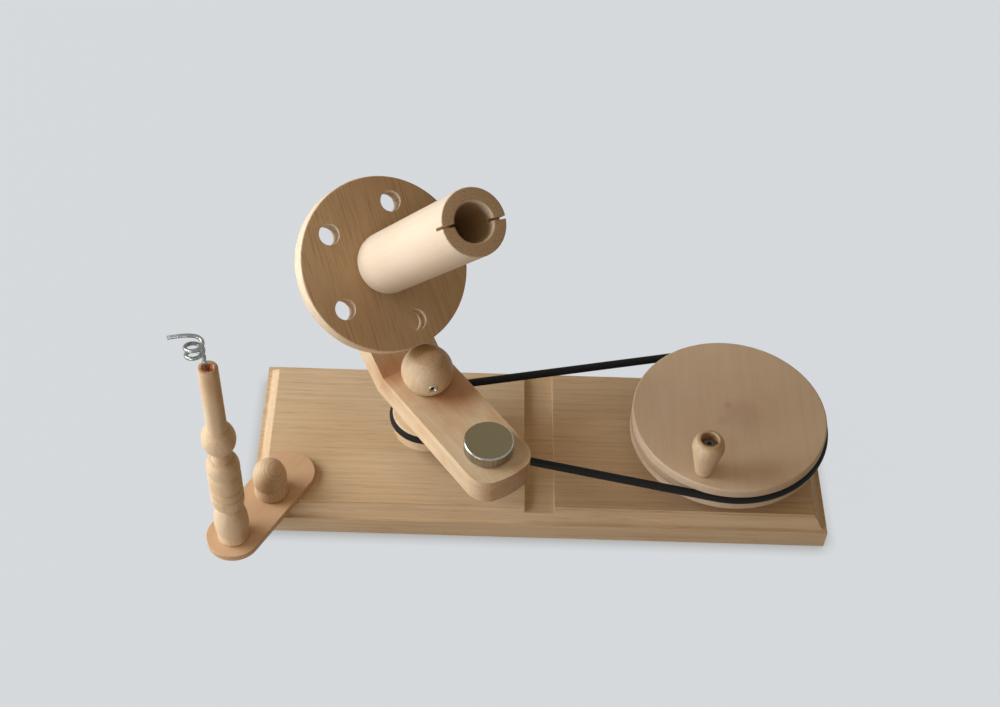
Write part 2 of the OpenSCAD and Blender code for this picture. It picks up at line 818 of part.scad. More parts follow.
module spindle_lock_nut() {
  color(steel) on_spindle() hex_nut(limb_front, lock_nut_height, axle_radius + fixed_fit);
}
module spindle_collar() {
  color(steel)
    on_spindle()
      ring(collar_radius - 1.5, axle_radius + fixed_fit, limb_front + lock_nut_height,
        disc_back - bush_flange - face_gap);
}
module spindle_end_washer() {
  color(steel)
    on_spindle()
      ring(nut_well_radius - 0.7, axle_radius + fixed_fit, end_washer_start, end_nut_start);
}
module spindle_end_nut() {
  color(steel) on_spindle() hex_nut(end_nut_start, nut_height, axle_radius + fixed_fit);
}
module winding_disc() {
  color("#b9945f")
    on_spindle()
      difference() {
        rotate_extrude()
          polygon(concat(
            [[0, disc_back]],
            rounding([disc_radius - disc_edge, disc_back + disc_edge], disc_edge, -90, 0),
            rounding([disc_radius - disc_edge, -disc_edge], disc_edge, 0, 90),
            [[0, 0]]
          ));
        rod(bush_radius + fixed_fit, disc_back - over, over);
        for (i = [0:disc_hole_count - 1])
          rotate([0, 0, disc_hole_phase + 360 * i / disc_hole_count])
            translate([disc_hole_pitch_radius, 0, 0]) rod(disc_hole_radius, disc_back - over, over);
        disc_screw_places() screw_hole(screw_radius, screw_head_radius, screw_length);
      }
}
// The disc's screws are sunk in its back and end in the tube's foot
module disc_screw_places() {
  for (i = [0:2])
    rotate([0, 0, 90 + 120 * i]) translate([disc_screw_circle, 0, disc_back]) children();
}
module disc_bush() {
  color(bronze) on_spindle() flanged_bush(disc_back, -0.3, disc_back - bush_flange, disc_back);
}
module disc_screws() {
  color(steel)
    on_spindle() disc_screw_places() wood_screw(screw_radius, screw_head_radius, screw_length);
}
module winding_tube() {
  lip = 1;
  color(pale_wood)
    on_spindle()
      difference() {
        rotate_extrude()
          polygon(concat(
            [[0, 0]],
            rounding([tube_radius - tube_foot_round, tube_foot_round], tube_foot_round, -90, 0),
            rounding([tube_radius - lip, tube_length - lip], lip, 0, 90),
            [
              [tube_bore_radius + lip, tube_length], [tube_bore_radius, tube_length - lip],
              [tube_bore_radius, tube_floor], [0, tube_floor]
            ]
          ));
        rod(bush_radius + fixed_fit, -over, tube_floor + over);
        rod(nut_well_radius, nut_well_floor, tube_floor + over);
        disc_screw_places() rod(screw_radius + fixed_fit, 0, screw_length + 0.5);
        rotate([0, 0, slot_angle])
          translate([-tube_radius - over, -slot_width / 2, tube_length - slot_depth])
            cube([2 * (tube_radius + over), slot_width, slot_depth + over]);
      }
}
module tube_bush() {
  color(bronze)
    on_spindle() flanged_bush(tube_bush_lift, nut_well_floor, nut_well_floor, nut_well_floor + bush_flange);
}
module guide_link() {
  color(link_wood)
    on_stud()
      difference() {
        translate([0, 0, link_bottom])
          linear_extrude(height = link_thickness)
            union() {
              translate([-link_span, 0]) circle(r = link_half_width);
              translate([link_tail, 0]) circle(r = link_half_width);
              translate([-link_span, -link_half_width])
                square([link_span + link_tail, 2 * link_half_width]);
            }
        rod(stud_radius + 0.2, link_bottom - over, link_top + over);
        translate([-link_span, 0, link_bottom])
          screw_hole(screw_radius, screw_head_radius, link_thickness + over);
      }
}
// Turned post; its sections are given upwards from the foot
module guide_post() {
  color(pale_wood)
    on_guide_post()
      translate([0, 0, post_base])
        difference() {
          rotate_extrude() polygon(post_outline());
          rod(well_radius, stem_top - well_depth, stem_top + over);
          rod(wire_diameter / 2 + fixed_fit, stem_top - well_depth - wire_set_depth - 0.5, stem_top);
          rod(screw_radius + fixed_fit, -over, post_screw_length - link_thickness + 0.5);
        }
}
// V groove cut into the barrel at a height above the vase
function barrel_groove(height, half_width) = [
  [barrel_radius, vase_top + height - half_width],
  [barrel_radius - barrel_groove_depth, vase_top + height],
  [barrel_radius, vase_top + height + half_width]
];
function post_outline() =
  let (
    foot_round = 2,
    narrow_groove = 1.4,
    wide_groove = 3.4,
    crease = 0.8,
    vase_widest = foot_top + 7,
    vase_reach = (vase_top - vase_widest) / sin(acos(neck_radius / vase_radius)),
    lower_edge_width = 4,
    lower_edge_height = 8,
    shoulder_width = barrel_radius - stem_root_radius,
    shoulder_height = 10,
    stem_edge = 1.2
  )
  concat(
    [[0, 0]],
    arc([foot_radius - foot_round, foot_round], foot_round, foot_round, -90, 0, 5),
    arc([foot_radius - crease, foot_top - crease], crease, crease, 0, 60, 3),
    arc([0, vase_widest], vase_radius, vase_reach,
      -asin((vase_widest - foot_top) / vase_reach), acos(neck_radius / vase_radius), 16),
    arc([barrel_radius - lower_edge_width, vase_top + lower_edge_height],
      lower_edge_width, lower_edge_height, -85, 0, 8),
    barrel_groove(low_groove_height, narrow_groove),
    barrel_groove(middle_groove_height, narrow_groove),
    barrel_groove(high_groove_height, wide_groove),
    arc([stem_root_radius, barrel_top - shoulder_height], shoulder_width, shoulder_height, 0, 86, 12),
    arc([0, ball_centre], ball_radius, ball_half_height,
      -acos((stem_root_radius - 0.3) / ball_radius), acos(stem_root_radius / ball_radius), 24),
    arc([stem_radius - stem_edge, stem_top - stem_edge], stem_edge, stem_edge, 0, 90, 4),
    [[0, stem_top]]
  );
module guide_post_screw() {
  color(steel)
    on_guide_post()
      translate([0, 0, link_bottom]) wood_screw(screw_radius, screw_head_radius, post_screw_length);
}

// Wire eye: one wire that is set in the stem, rises, makes a coil and leaves as a tail.
// In its own frame the post's axis is Z and +X points from the post to the coil.
function bezier(a, b, c, d, steps) = [
  for (i = [1:steps])
    let (t = i / steps, s = 1 - t)
    s * s * s * a + 3 * s * s * t * b + 3 * s * t * t * c + t * t * t * d
];
function tilted(v) = [
  v[0],
  v[1] * cos(coil_tilt) - v[2] * sin(coil_tilt),
  v[1] * sin(coil_tilt) + v[2] * cos(coil_tilt)
];
function coil_point(turn) =
  [coil_offset, 0, stem_top + coil_lift]
  + tilted([-coil_radius * cos(360 * turn), -coil_radius * sin(360 * turn), coil_pitch * turn]);
function coil_heading(turn) = unit(tilted([
  coil_radius * sin(360 * turn), -coil_radius * cos(360 * turn), coil_pitch / (2 * PI)
]));
rings_per_turn = 24;
coil_rings = round(coil_turns * rings_per_turn);
wire_foot = [0, 0, stem_top - well_depth - wire_set_depth];
wire_rise = [0, 0, stem_top];
coil_start = coil_point(0);
coil_end = coil_point(coil_turns);
tail_end = coil_end + [tail_length, 0, -tail_drop];
tail_knee = coil_end + 5 * coil_heading(coil_turns);
tail_aim = unit(tail_end - tail_knee);
wire_path = concat(
  [wire_foot, wire_foot + [0, 0, wire_diameter], wire_rise],
  bezier(wire_rise, wire_rise + [0, 0, 5], coil_start - 4.5 * coil_heading(0), coil_start, 12),
  [for (i = [1:coil_rings]) coil_point(i / rings_per_turn)],
  bezier(coil_end, tail_knee, tail_end - 8 * tail_aim, tail_end - wire_diameter * tail_aim, 8),
  [tail_end]
);
function headings(path) = [
  for (i = [0:len(path) - 1])
    unit(path[min(i + 1, len(path) - 1)] - path[max(i - 1, 0)])
];
// Side faces of a tube of rings, whose last ring meets the first where it is closed
function tube_sides(rings, sides, steps) = [
  for (i = [0:steps - 1], k = [0:sides - 1], half = [0, 1])
    let (
      here = i * sides,
      there = ((i + 1) % rings) * sides,
      next = (k + 1) % sides
    )
    half == 0 ? [here + k, there + k, here + next] : [here + next, there + k, there + next]
];
// Carries one side direction along the path without twist
function carried(heading, side, i = 0) =
  i >= len(heading) ? [] :
  let (here = unit(side - (side * heading[i]) * heading[i]))
  concat([here], carried(heading, here, i + 1));
module swept_wire(path, radius, sides = 6) {
  heading = headings(path);
  side = carried(heading, [1, 0, 0]);
  last = (len(path) - 1) * sides;
  polyhedron(
    points = [
      for (i = [0:len(path) - 1], k = [0:sides - 1])
        path[i] + radius * (cos(360 * k / sides) * side[i]
          + sin(360 * k / sides) * cross(heading[i], side[i]))
    ],
    faces = concat(
      [for (k = [1:sides - 2]) [0, k, k + 1]],
      [for (k = [1:sides - 2]) [last, last + k + 1, last + k]],
      tube_sides(len(path), sides, len(path) - 1)
    )
  );
}
// Least gap between stretches of the wire that are at least half a turn apart
function least_gap(path, apart) = min([
  for (i = [0:len(path) - 1 - apart], j = [i + apart:len(path) - 1])
    norm(path[i] - path[j])
]) - wire_diameter;
module wire_eye() {
  echo(wire_least_gap = least_gap(wire_path, rings_per_turn / 2));
  color("#a9adb1")
    on_guide_post()
      translate([0, 0, post_base])
        rotate([0, 0, coil_azimuth]) swept_wire(wire_path, wire_diameter / 2);
}
module guide_knob() {
  foot_round = 1.6;
  groove = 0.9;
  groove_at = acorn_bottom + acorn_groove_height;
  crown_height = acorn_height - acorn_side_height;
  color(pale_wood)
    on_stud()
      difference() {
        rotate_extrude()
          polygon(concat(
            [[0, acorn_bottom]],
            arc([acorn_radius - foot_round, acorn_bottom + foot_round], foot_round, foot_round, -90, 0, 5),
            [
              [acorn_radius, groove_at - groove],
              [acorn_radius - acorn_groove_depth, groove_at],
              [acorn_radius, groove_at + groove]
            ],
            arc([0, acorn_bottom + acorn_side_height], acorn_radius, crown_height, 0, 90, 20)
          ));
        rod(stud_radius + fixed_fit, acorn_bottom - over, stud_top + 0.3);
      }
}
module guide_stud() {
  color(steel) on_stud() rod(stud_radius, tee_flange_thickness + 1, stud_top);
}

base_board();
centre_post();
post_collar();
underside_nuts();
underside_washers();
friction_dome();
dome_insert();
dome_set_screw();
wheel_axle();
wheel_collar();
drive_belt();
guide_tee_nut();
drive_wheel();
wheel_bush();
crank_screw();
crank_sleeve();
crank_washer();
crank_knob();
pulley();
pulley_bush();
pulley_screws();
rotor_arm();
rotor_limb();
arm_bush();
counterweight();
counterweight_screw();
spindle_axle();
spindle_lock_nut();
spindle_collar();
spindle_end_washer();
spindle_end_nut();
winding_disc();
disc_bush();
disc_screws();
winding_tube();
tube_bush();
guide_link();
guide_post();
guide_post_screw();
wire_eye();
guide_knob();
guide_stud();
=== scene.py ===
"""Looks of a hand-cranked wooden ball winder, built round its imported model.

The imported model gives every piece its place. Each sub-assembly is a class that copies or
models its visible pieces, softens their edges and dresses them. All sizes are in metres
unless a name ends in _mm, and patterns in materials are worked out in millimetres.
"""

import json
import logging
import math
from abc import ABC, abstractmethod
from dataclasses import dataclass, field
from enum import Enum

import bpy
from mathutils import Matrix, Vector
from mathutils.geometry import interpolate_bezier


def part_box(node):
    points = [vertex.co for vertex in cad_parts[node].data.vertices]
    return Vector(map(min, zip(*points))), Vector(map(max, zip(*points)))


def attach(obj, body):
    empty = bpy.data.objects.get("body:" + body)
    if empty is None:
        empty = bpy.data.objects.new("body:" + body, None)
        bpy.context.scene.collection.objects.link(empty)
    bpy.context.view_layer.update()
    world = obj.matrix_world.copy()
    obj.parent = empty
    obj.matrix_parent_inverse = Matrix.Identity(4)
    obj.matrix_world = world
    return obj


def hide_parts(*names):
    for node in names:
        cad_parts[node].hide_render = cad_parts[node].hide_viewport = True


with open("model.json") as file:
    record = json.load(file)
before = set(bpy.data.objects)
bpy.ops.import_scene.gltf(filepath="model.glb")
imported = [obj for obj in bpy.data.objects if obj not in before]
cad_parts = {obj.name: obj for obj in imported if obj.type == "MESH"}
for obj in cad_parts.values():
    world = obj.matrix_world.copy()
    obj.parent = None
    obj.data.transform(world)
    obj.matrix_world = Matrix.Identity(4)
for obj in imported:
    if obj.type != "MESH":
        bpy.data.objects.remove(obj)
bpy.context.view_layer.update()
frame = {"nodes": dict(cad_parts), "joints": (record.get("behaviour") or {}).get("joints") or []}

LOG = logging.getLogger("ball_winder")
Socket = bpy.types.NodeSocket
MM = 0.001

# Corners of a CAD copy that are closer than this are one, and faces that turn less are flat.
MERGE_MM = 0.002
FLAT_DEG = 0.4
# Edges that turn more than this are sharp, unless a piece says otherwise.
SHARP_DEG = 40.0
# Points of a turned profile that are closer than this are one.
SEAM_MM = 0.001
# A swept tube's facets and a drop of glue's turn less than these.
TUBE_SMOOTH_DEG = 50.0
GLUE_SMOOTH_DEG = 60.0

# A Mix node's inputs for its two colours, and its output for the mixed one.
MIX_UNDER = 6
MIX_OVER = 7
MIX_RESULT = 2

# The whole of a value that goes from nought to one.
WHOLE = (0.0, 1.0)
# Levels of a noise between which a mark goes from nothing to its full depth.
PATCH_LEVELS = (0.42, 0.68)
STREAK_LEVELS = (0.42, 0.72)
FLECK_LEVELS = (0.62, 0.74)
FIBRE_LEVELS = (0.5, 0.8)
PORE_LEVELS = (0.52, 0.72)
# Levels of a noise that spread the roughness.
ROUGH_LEVELS = (0.3, 0.7)
# How squarely a face looks along an axis, from not at all end grain to wholly. On the disc the axis
# is its own, and its flats are the square faces, darkened partly as painted shade.
SQUARE_LEVELS = (0.45, 0.95)
# The same for the flat top end of a turned metal piece, where a painted reflection tone may lie.
FLAT_END_LEVELS = (0.95, 0.99)
# Share of a growth ring's width and how dark the wood is there: late wood ends sharply.
RING_STOPS = ((0.0, 0.0), (0.62, 0.45), (0.9, 1.0), (1.0, 0.0))


def linear(colour: str) -> tuple[float, float, float, float]:
    """Turns an sRGB hex colour into the linear colour that shaders take.

    Args:
        colour: Six hex digits, such as "c9a06c".

    Returns:
        Red, green, blue and an alpha of one.
    """
    channels = [int(colour[i : i + 2], 16) / 255 for i in (0, 2, 4)]
    turned = [c / 12.92 if c <= 0.04045 else ((c + 0.055) / 1.055) ** 2.4 for c in channels]
    return (turned[0], turned[1], turned[2], 1.0)


def add_node(
    tree: bpy.types.NodeTree, kind: str, settings: dict | None = None, links: dict | None = None
) -> bpy.types.Node:
    """Adds one shader node with its settings and its incoming links.

    Args:
        tree: The node tree.
        kind: The node's type name.
        settings: Node properties by name, or input values by input name or index.
        links: Output sockets by the name or index of the input that they feed.

    Returns:
        The new node.
    """
    made = tree.nodes.new(kind)
    for key, value in (settings or {}).items():
        if isinstance(key, str) and hasattr(made, key):
            setattr(made, key, value)
        else:
            made.inputs[key].default_value = value
    for key, socket in (links or {}).items():
        tree.links.new(socket, made.inputs[key])
    return made


def set_ramp(node: bpy.types.Node, stops: list[tuple[float, tuple]]) -> bpy.types.Node:
    """Sets a colour ramp's stops.

    Args:
        node: The colour ramp node.
        stops: Position and linear colour of each stop, from low to high.

    Returns:
        The same node.
    """
    elements = node.color_ramp.elements
    while len(elements) < len(stops):
        elements.new(1.0)
    for element, (position, colour) in zip(elements, stops):
        element.position = position
        element.color = colour
    return node


def grey(level: float) -> tuple[float, float, float, float]:
    """Returns a linear grey for a ramp that carries a number."""
    return (level, level, level, 1.0)


def new_material(name: str) -> tuple[bpy.types.Material, bpy.types.NodeTree, bpy.types.Node]:
    """Makes a material that holds one Principled shader and its output.

    Args:
        name: The material's name.

    Returns:
        The material, its node tree and the shader.
    """
    material = bpy.data.materials.new(name)
    material.use_nodes = True
    tree = material.node_tree
    tree.nodes.clear()
    shader = add_node(tree, "ShaderNodeBsdfPrincipled")
    add_node(tree, "ShaderNodeOutputMaterial", links={"Surface": shader.outputs["BSDF"]})
    return material, tree, shader


def pattern_place(
    tree: bpy.types.NodeTree,
    turn: Matrix,
    centre: Vector,
    shift_mm: tuple[float, float, float] = (0.0, 0.0, 0.0),
) -> tuple[bpy.types.bpy_prop_collection, Socket]:
    """Adds the place on a piece and turns it into a pattern's own, in millimetres.

    Args:
        tree: The node tree.
        turn: Its rows are the directions of the pattern's axes.
        centre: Point of the piece that the pattern is centred on.
        shift_mm: Where in the pattern that point lies.

    Returns:
        The coordinates of the piece, by name, and the place in the pattern.
    """
    here = add_node(tree, "ShaderNodeTexCoord").outputs
    place = add_node(
        tree,
        "ShaderNodeMapping",
        {
            "Location": Vector(shift_mm) - (turn @ centre) / MM,
            "Rotation": turn.to_euler("XYZ"),
            "Scale": (1 / MM,) * 3,
        },
        {"Vector": here["Object"]},
    ).outputs["Vector"]
    return here, place


def mottle(
    tree: bpy.types.NodeTree,
    place: Socket,
    cell_mm: tuple[float, float, float],
    detail: float,
    rough: float = 0.5,
) -> Socket:
    """Adds a noise whose cells have these sizes along the pattern's three axes.

    Args:
        tree: The node tree.
        place: The place in the pattern, in millimetres.
        cell_mm: Sizes of a cell.
        detail: How many finer noises lie in it.
        rough: How strong those are.

    Returns:
        The noise, which is a half on average.
    """
    cell = add_node(
        tree,
        "ShaderNodeVectorMath",
        {"operation": "MULTIPLY", 1: tuple(1 / size for size in cell_mm)},
        {0: place},
    ).outputs[0]
    return add_node(
        tree,
        "ShaderNodeTexNoise",
        {"Scale": 1.0, "Detail": detail, "Roughness": rough},
        {"Vector": cell},
    ).outputs["Fac"]


def tint(
    tree: bpy.types.NodeTree,
    colour: Socket,
    tone: str,
    value: Socket,
    levels: tuple[float, float],
    depth: float,
) -> Socket:
    """Lays a tone over a colour, from nothing at one level of a value to its depth at the next.

    Args:
        tree: The node tree.
        colour: The colour underneath.
        tone: The tone, as six hex digits.
        value: What the tone follows.
        levels: The two levels of that value.
        depth: Share of the tone at the second level.

    Returns:
        The mixed colour.
    """
    share = add_node(
        tree,
        "ShaderNodeMapRange",
        {"From Min": levels[0], "From Max": levels[1], "To Min": 0.0, "To Max": depth},
        {"Value": value},
    ).outputs["Result"]
    return add_node(
        tree,
        "ShaderNodeMix",
        {"data_type": "RGBA", MIX_OVER: linear(tone)},
        {0: share, MIX_UNDER: colour},
    ).outputs[MIX_RESULT]


def set_surface(
    tree: bpy.types.NodeTree,
    shader: bpy.types.Node,
    colour: Socket,
    wear: Socket,
    levels: tuple[float, float],
    roughness: tuple[float, float],
    relief: Socket,
    strength: float,
    rise_mm: float,
) -> None:
    """Gives a shader its colour, an uneven roughness and a fine relief.

    Args:
        tree: The node tree.
        shader: The Principled shader.
        colour: The colour.
        wear: Value that the roughness follows.
        levels: Two levels of that value.
        roughness: The roughness at each of them.
        relief: Height of the surface, from nought to one.
        strength: How strongly the relief is drawn.
        rise_mm: What a height of one stands for.
    """
    rough = add_node(
        tree,
        "ShaderNodeMapRange",
        {
            "From Min": levels[0],
            "From Max": levels[1],
            "To Min": roughness[0],
            "To Max": roughness[1],
        },
        {"Value": wear},
    ).outputs["Result"]
    bump = add_node(
        tree,
        "ShaderNodeBump",
        {"Strength": strength, "Distance": rise_mm * MM},
        {"Height": relief},
    ).outputs["Normal"]
    tree.links.new(colour, shader.inputs["Base Color"])
    tree.links.new(rough, shader.inputs["Roughness"])
    tree.links.new(bump, shader.inputs["Normal"])


class Axis(Enum):
    """Directions that a grain or a turned piece can run in."""

    LENGTH = (1.0, 0.0, 0.0)
    DEPTH = (0.0, 1.0, 0.0)
    UP = (0.0, 0.0, 1.0)

    @property
    def vector(self) -> Vector:
        """The direction as a vector."""
        return Vector(self.value)


@dataclass(frozen=True)
class Smudge:
    """Soft mark on wood: a handling mark, or figure that shows in one place.

    Its place is in the row frame. It is full within the core, a share of its radius.
    """

    place_mm: tuple[float, float, float]
    radius_mm: float
    depth: float
    tone: str
    core: float = 0.35


@dataclass(frozen=True)
class WoodFinish:
    """Sanded wood with a thin oil finish.

    The pattern is solid: growth rings lie round a pith line that runs beside the piece, so
    faces along the grain show long streaks, and end grain is darker, with pores and arcs.
    Sizes given as a pair are along the grain and across it. Real fibres and pores are a tenth
    of a millimetre across or less, too fine to show, so these are drawn coarser.
    """

    name: str
    light: str
    dark: str
    warm: str
    ring_mm: float = 3.2
    ring_depth: float = 0.35
    streak_mm: float = 2.6
    streak_long_mm: float = 120.0
    streak_depth: float = 0.5
    patch_mm: float = 55.0
    patch_stretch: float = 1.8
    patch_depth: float = 0.35
    fleck_depth: float = 0.25
    fleck_mm: tuple[float, float] = (4.2, 0.8)
    end_grain_and_shade_depth: float = 0.5
    pore: str = "7a5a36"
    pore_mm: tuple[float, float] = (34.0, 0.9)
    fibre_mm: tuple[float, float] = (14.0, 0.9)
    fibre_depth: float = 0.35
    fibre_bump: float = 0.35
    fibre_rise_mm: float = 0.12
    sway_mm: tuple[float, float] = (210.0, 46.0)
    sway_reach_mm: float = 8.0
    roughness: float = 0.52
    rough_spread: tuple[float, float] = (-0.06, 0.08)
    pith_mm: tuple[float, float] = (38.0, -61.0)
    leaning: tuple[float, float, float] = (0.21, 0.35, 0.91)
    smudges: tuple[Smudge, ...] = ()

    def figure(
        self,
        tree: bpy.types.NodeTree,
        place: Socket,
        size_mm: tuple[float, float],
        detail: float,
        rough: float = 0.5,
    ) -> Socket:
        """Adds a noise whose marks are this long along the grain and this wide across it."""
        long, wide = size_mm
        return mottle(tree, place, (long, wide, wide), detail, rough)

    def rings(self, tree: bpy.types.NodeTree, place: Socket) -> Socket:
        """Adds growth rings round the pith line, which sways along its length.

        Args:
            tree: The node tree.
            place: The place in the pattern, with the pith line as X.

        Returns:
            How dark the ring is.
        """
        sway = add_node(
            tree,
            "ShaderNodeMath",
            {"operation": "MULTIPLY_ADD", 1: 2 * self.sway_reach_mm, 2: -self.sway_reach_mm},
            {0: self.figure(tree, place, self.sway_mm, detail=2.0)},
        ).outputs[0]
        flat = add_node(
            tree, "ShaderNodeVectorMath", {"operation": "MULTIPLY", 1: (0.0, 1.0, 1.0)}, {0: place}
        ).outputs[0]
        reach = add_node(
            tree, "ShaderNodeVectorMath", {"operation": "LENGTH"}, {0: flat}
        ).outputs["Value"]
        bent = add_node(
            tree, "ShaderNodeMath", {"operation": "ADD"}, {0: reach, 1: sway}
        ).outputs[0]
        counted = add_node(
            tree, "ShaderNodeMath", {"operation": "DIVIDE", 1: self.ring_mm}, {0: bent}
        ).outputs[0]
        phase = add_node(tree, "ShaderNodeMath", {"operation": "FRACT"}, {0: counted}).outputs[0]
        return set_ramp(
            add_node(tree, "ShaderNodeValToRGB", links={"Fac": phase}),
            [(share, grey(darkness)) for share, darkness in RING_STOPS],
        ).outputs["Color"]

    def tones(
        self,
        tree: bpy.types.NodeTree,
        place: Socket,
        patch: Socket,
        streak: Socket,
        fibre: Socket,
    ) -> Socket:
        """Lays the tones of the figure over the light one, the broad ones first.

        Args:
            tree: The node tree.
            place: The place in the pattern.
            patch: Noise of the broad patches.
            streak: Noise of the long streaks.
            fibre: Noise of the fibres.

        Returns:
            The colour.
        """
        colour = add_node(tree, "ShaderNodeRGB").outputs[0]
        colour.default_value = linear(self.light)
        fleck = self.figure(tree, place, self.fleck_mm, detail=1.0)
        for tone, value, levels, depth in (
            (self.warm, patch, PATCH_LEVELS, self.patch_depth),
            (self.dark, streak, STREAK_LEVELS, self.streak_depth),
            (self.dark, self.rings(tree, place), WHOLE, self.ring_depth),
            (self.dark, fleck, FLECK_LEVELS, self.fleck_depth),
            (self.light, fibre, FIBRE_LEVELS, self.fibre_depth),
        ):
            colour = tint(tree, colour, tone, value, levels, depth)
        return colour

    def darken_end_grain_and_shaded_flats(
        self,
        tree: bpy.types.NodeTree,
        place: Socket,
        facing: Socket,
        end_grain_and_shade_axis: Vector,
        colour: Socket,
    ) -> Socket:
        """Darkens the faces that look along an axis and opens the pores in them. These are end
        grain, and on the disc its flats, whose darkening is partly painted shade.

        Args:
            tree: The node tree.
            place: The place in the pattern.
            facing: Direction that the surface faces.
            end_grain_and_shade_axis: The axis.
            colour: The colour underneath.

        Returns:
            The colour.
        """
        turned = add_node(
            tree, "ShaderNodeVectorMath", {"operation": "DOT_PRODUCT", 1: end_grain_and_shade_axis}, {0: facing}
        ).outputs["Value"]
        square = add_node(tree, "ShaderNodeMath", {"operation": "ABSOLUTE"}, {0: turned}).outputs[0]
        pore = add_node(
            tree,
            "ShaderNodeMapRange",
            {"From Min": PORE_LEVELS[0], "From Max": PORE_LEVELS[1]},
            {"Value": self.figure(tree, place, self.pore_mm, detail=2.0)},
        ).outputs["Result"]
        shown = add_node(
            tree, "ShaderNodeMath", {"operation": "MULTIPLY"}, {0: square, 1: pore}
        ).outputs[0]
        colour = tint(tree, colour, self.dark, square, SQUARE_LEVELS, self.end_grain_and_shade_depth)
        return tint(tree, colour, self.pore, shown, WHOLE, self.end_grain_and_shade_depth)

    def smudge(
        self, tree: bpy.types.NodeTree, here: Socket, patch: Socket, colour: Socket
    ) -> Socket:
        """Lays the smudges over a colour, each with an uneven edge.

        Args:
            tree: The node tree.
            here: The place in the row frame.
            patch: Noise that makes the edges uneven.
            colour: The colour underneath.

        Returns:
            The colour.
        """
        for mark in self.smudges:
            away = add_node(
                tree,
                "ShaderNodeVectorMath",
                {"operation": "DISTANCE", 1: Vector(mark.place_mm) * MM},
                {0: here},
            ).outputs["Value"]
            uneven = add_node(
                tree, "ShaderNodeMath", {"operation": "MULTIPLY"}, {0: away, 1: patch}
            ).outputs[0]
            # The patches' noise is a half on average, so this is the radius.
            edge = mark.radius_mm * MM / 2
            colour = tint(tree, colour, mark.tone, uneven, (edge, mark.core * edge), mark.depth)
        return colour

    def material(
        self, piece: str, grain: Vector, centre: Vector, end_grain_and_shade_axis: Vector | None = None
    ) -> bpy.types.Material:
        """Builds this wood for one piece.

        Args:
            piece: Name of the piece, which also names the material.
            grain: Direction of the grain in the row frame.
            centre: Point of the piece that the pattern is centred on.
            end_grain_and_shade_axis: Axis whose square faces are darker. End grain's, unless given.

        Returns:
            The material.
        """
        material, tree, shader = new_material(f"{self.name}_{piece}")
        along = grain.normalized()
        across = along.cross(Vector(self.leaning)).normalized()
        turn = Matrix((along, across, along.cross(across)))
        here, place = pattern_place(tree, turn, centre, (0.0, *self.pith_mm))
        patch_mm = (self.patch_mm * self.patch_stretch, self.patch_mm)
        patch = self.figure(tree, place, patch_mm, detail=3.0)
        streak_mm = (self.streak_long_mm, self.streak_mm)
        streak = self.figure(tree, place, streak_mm, detail=4.0, rough=0.6)
        fibre = self.figure(tree, place, self.fibre_mm, detail=2.0)
        colour = self.tones(tree, place, patch, streak, fibre)
        # On the disc this axis is its own, and its flats are darkened, partly as painted shade.
        axis = (end_grain_and_shade_axis or along).normalized()
        colour = self.darken_end_grain_and_shaded_flats(tree, place, here["Normal"], axis, colour)
        colour = self.smudge(tree, here["Object"], patch, colour)
        smoother, rougher = self.rough_spread
        roughness = (self.roughness + smoother, self.roughness + rougher)
        set_surface(
            tree, shader, colour, streak, ROUGH_LEVELS, roughness,
            fibre, self.fibre_bump, self.fibre_rise_mm,
        )
        return material


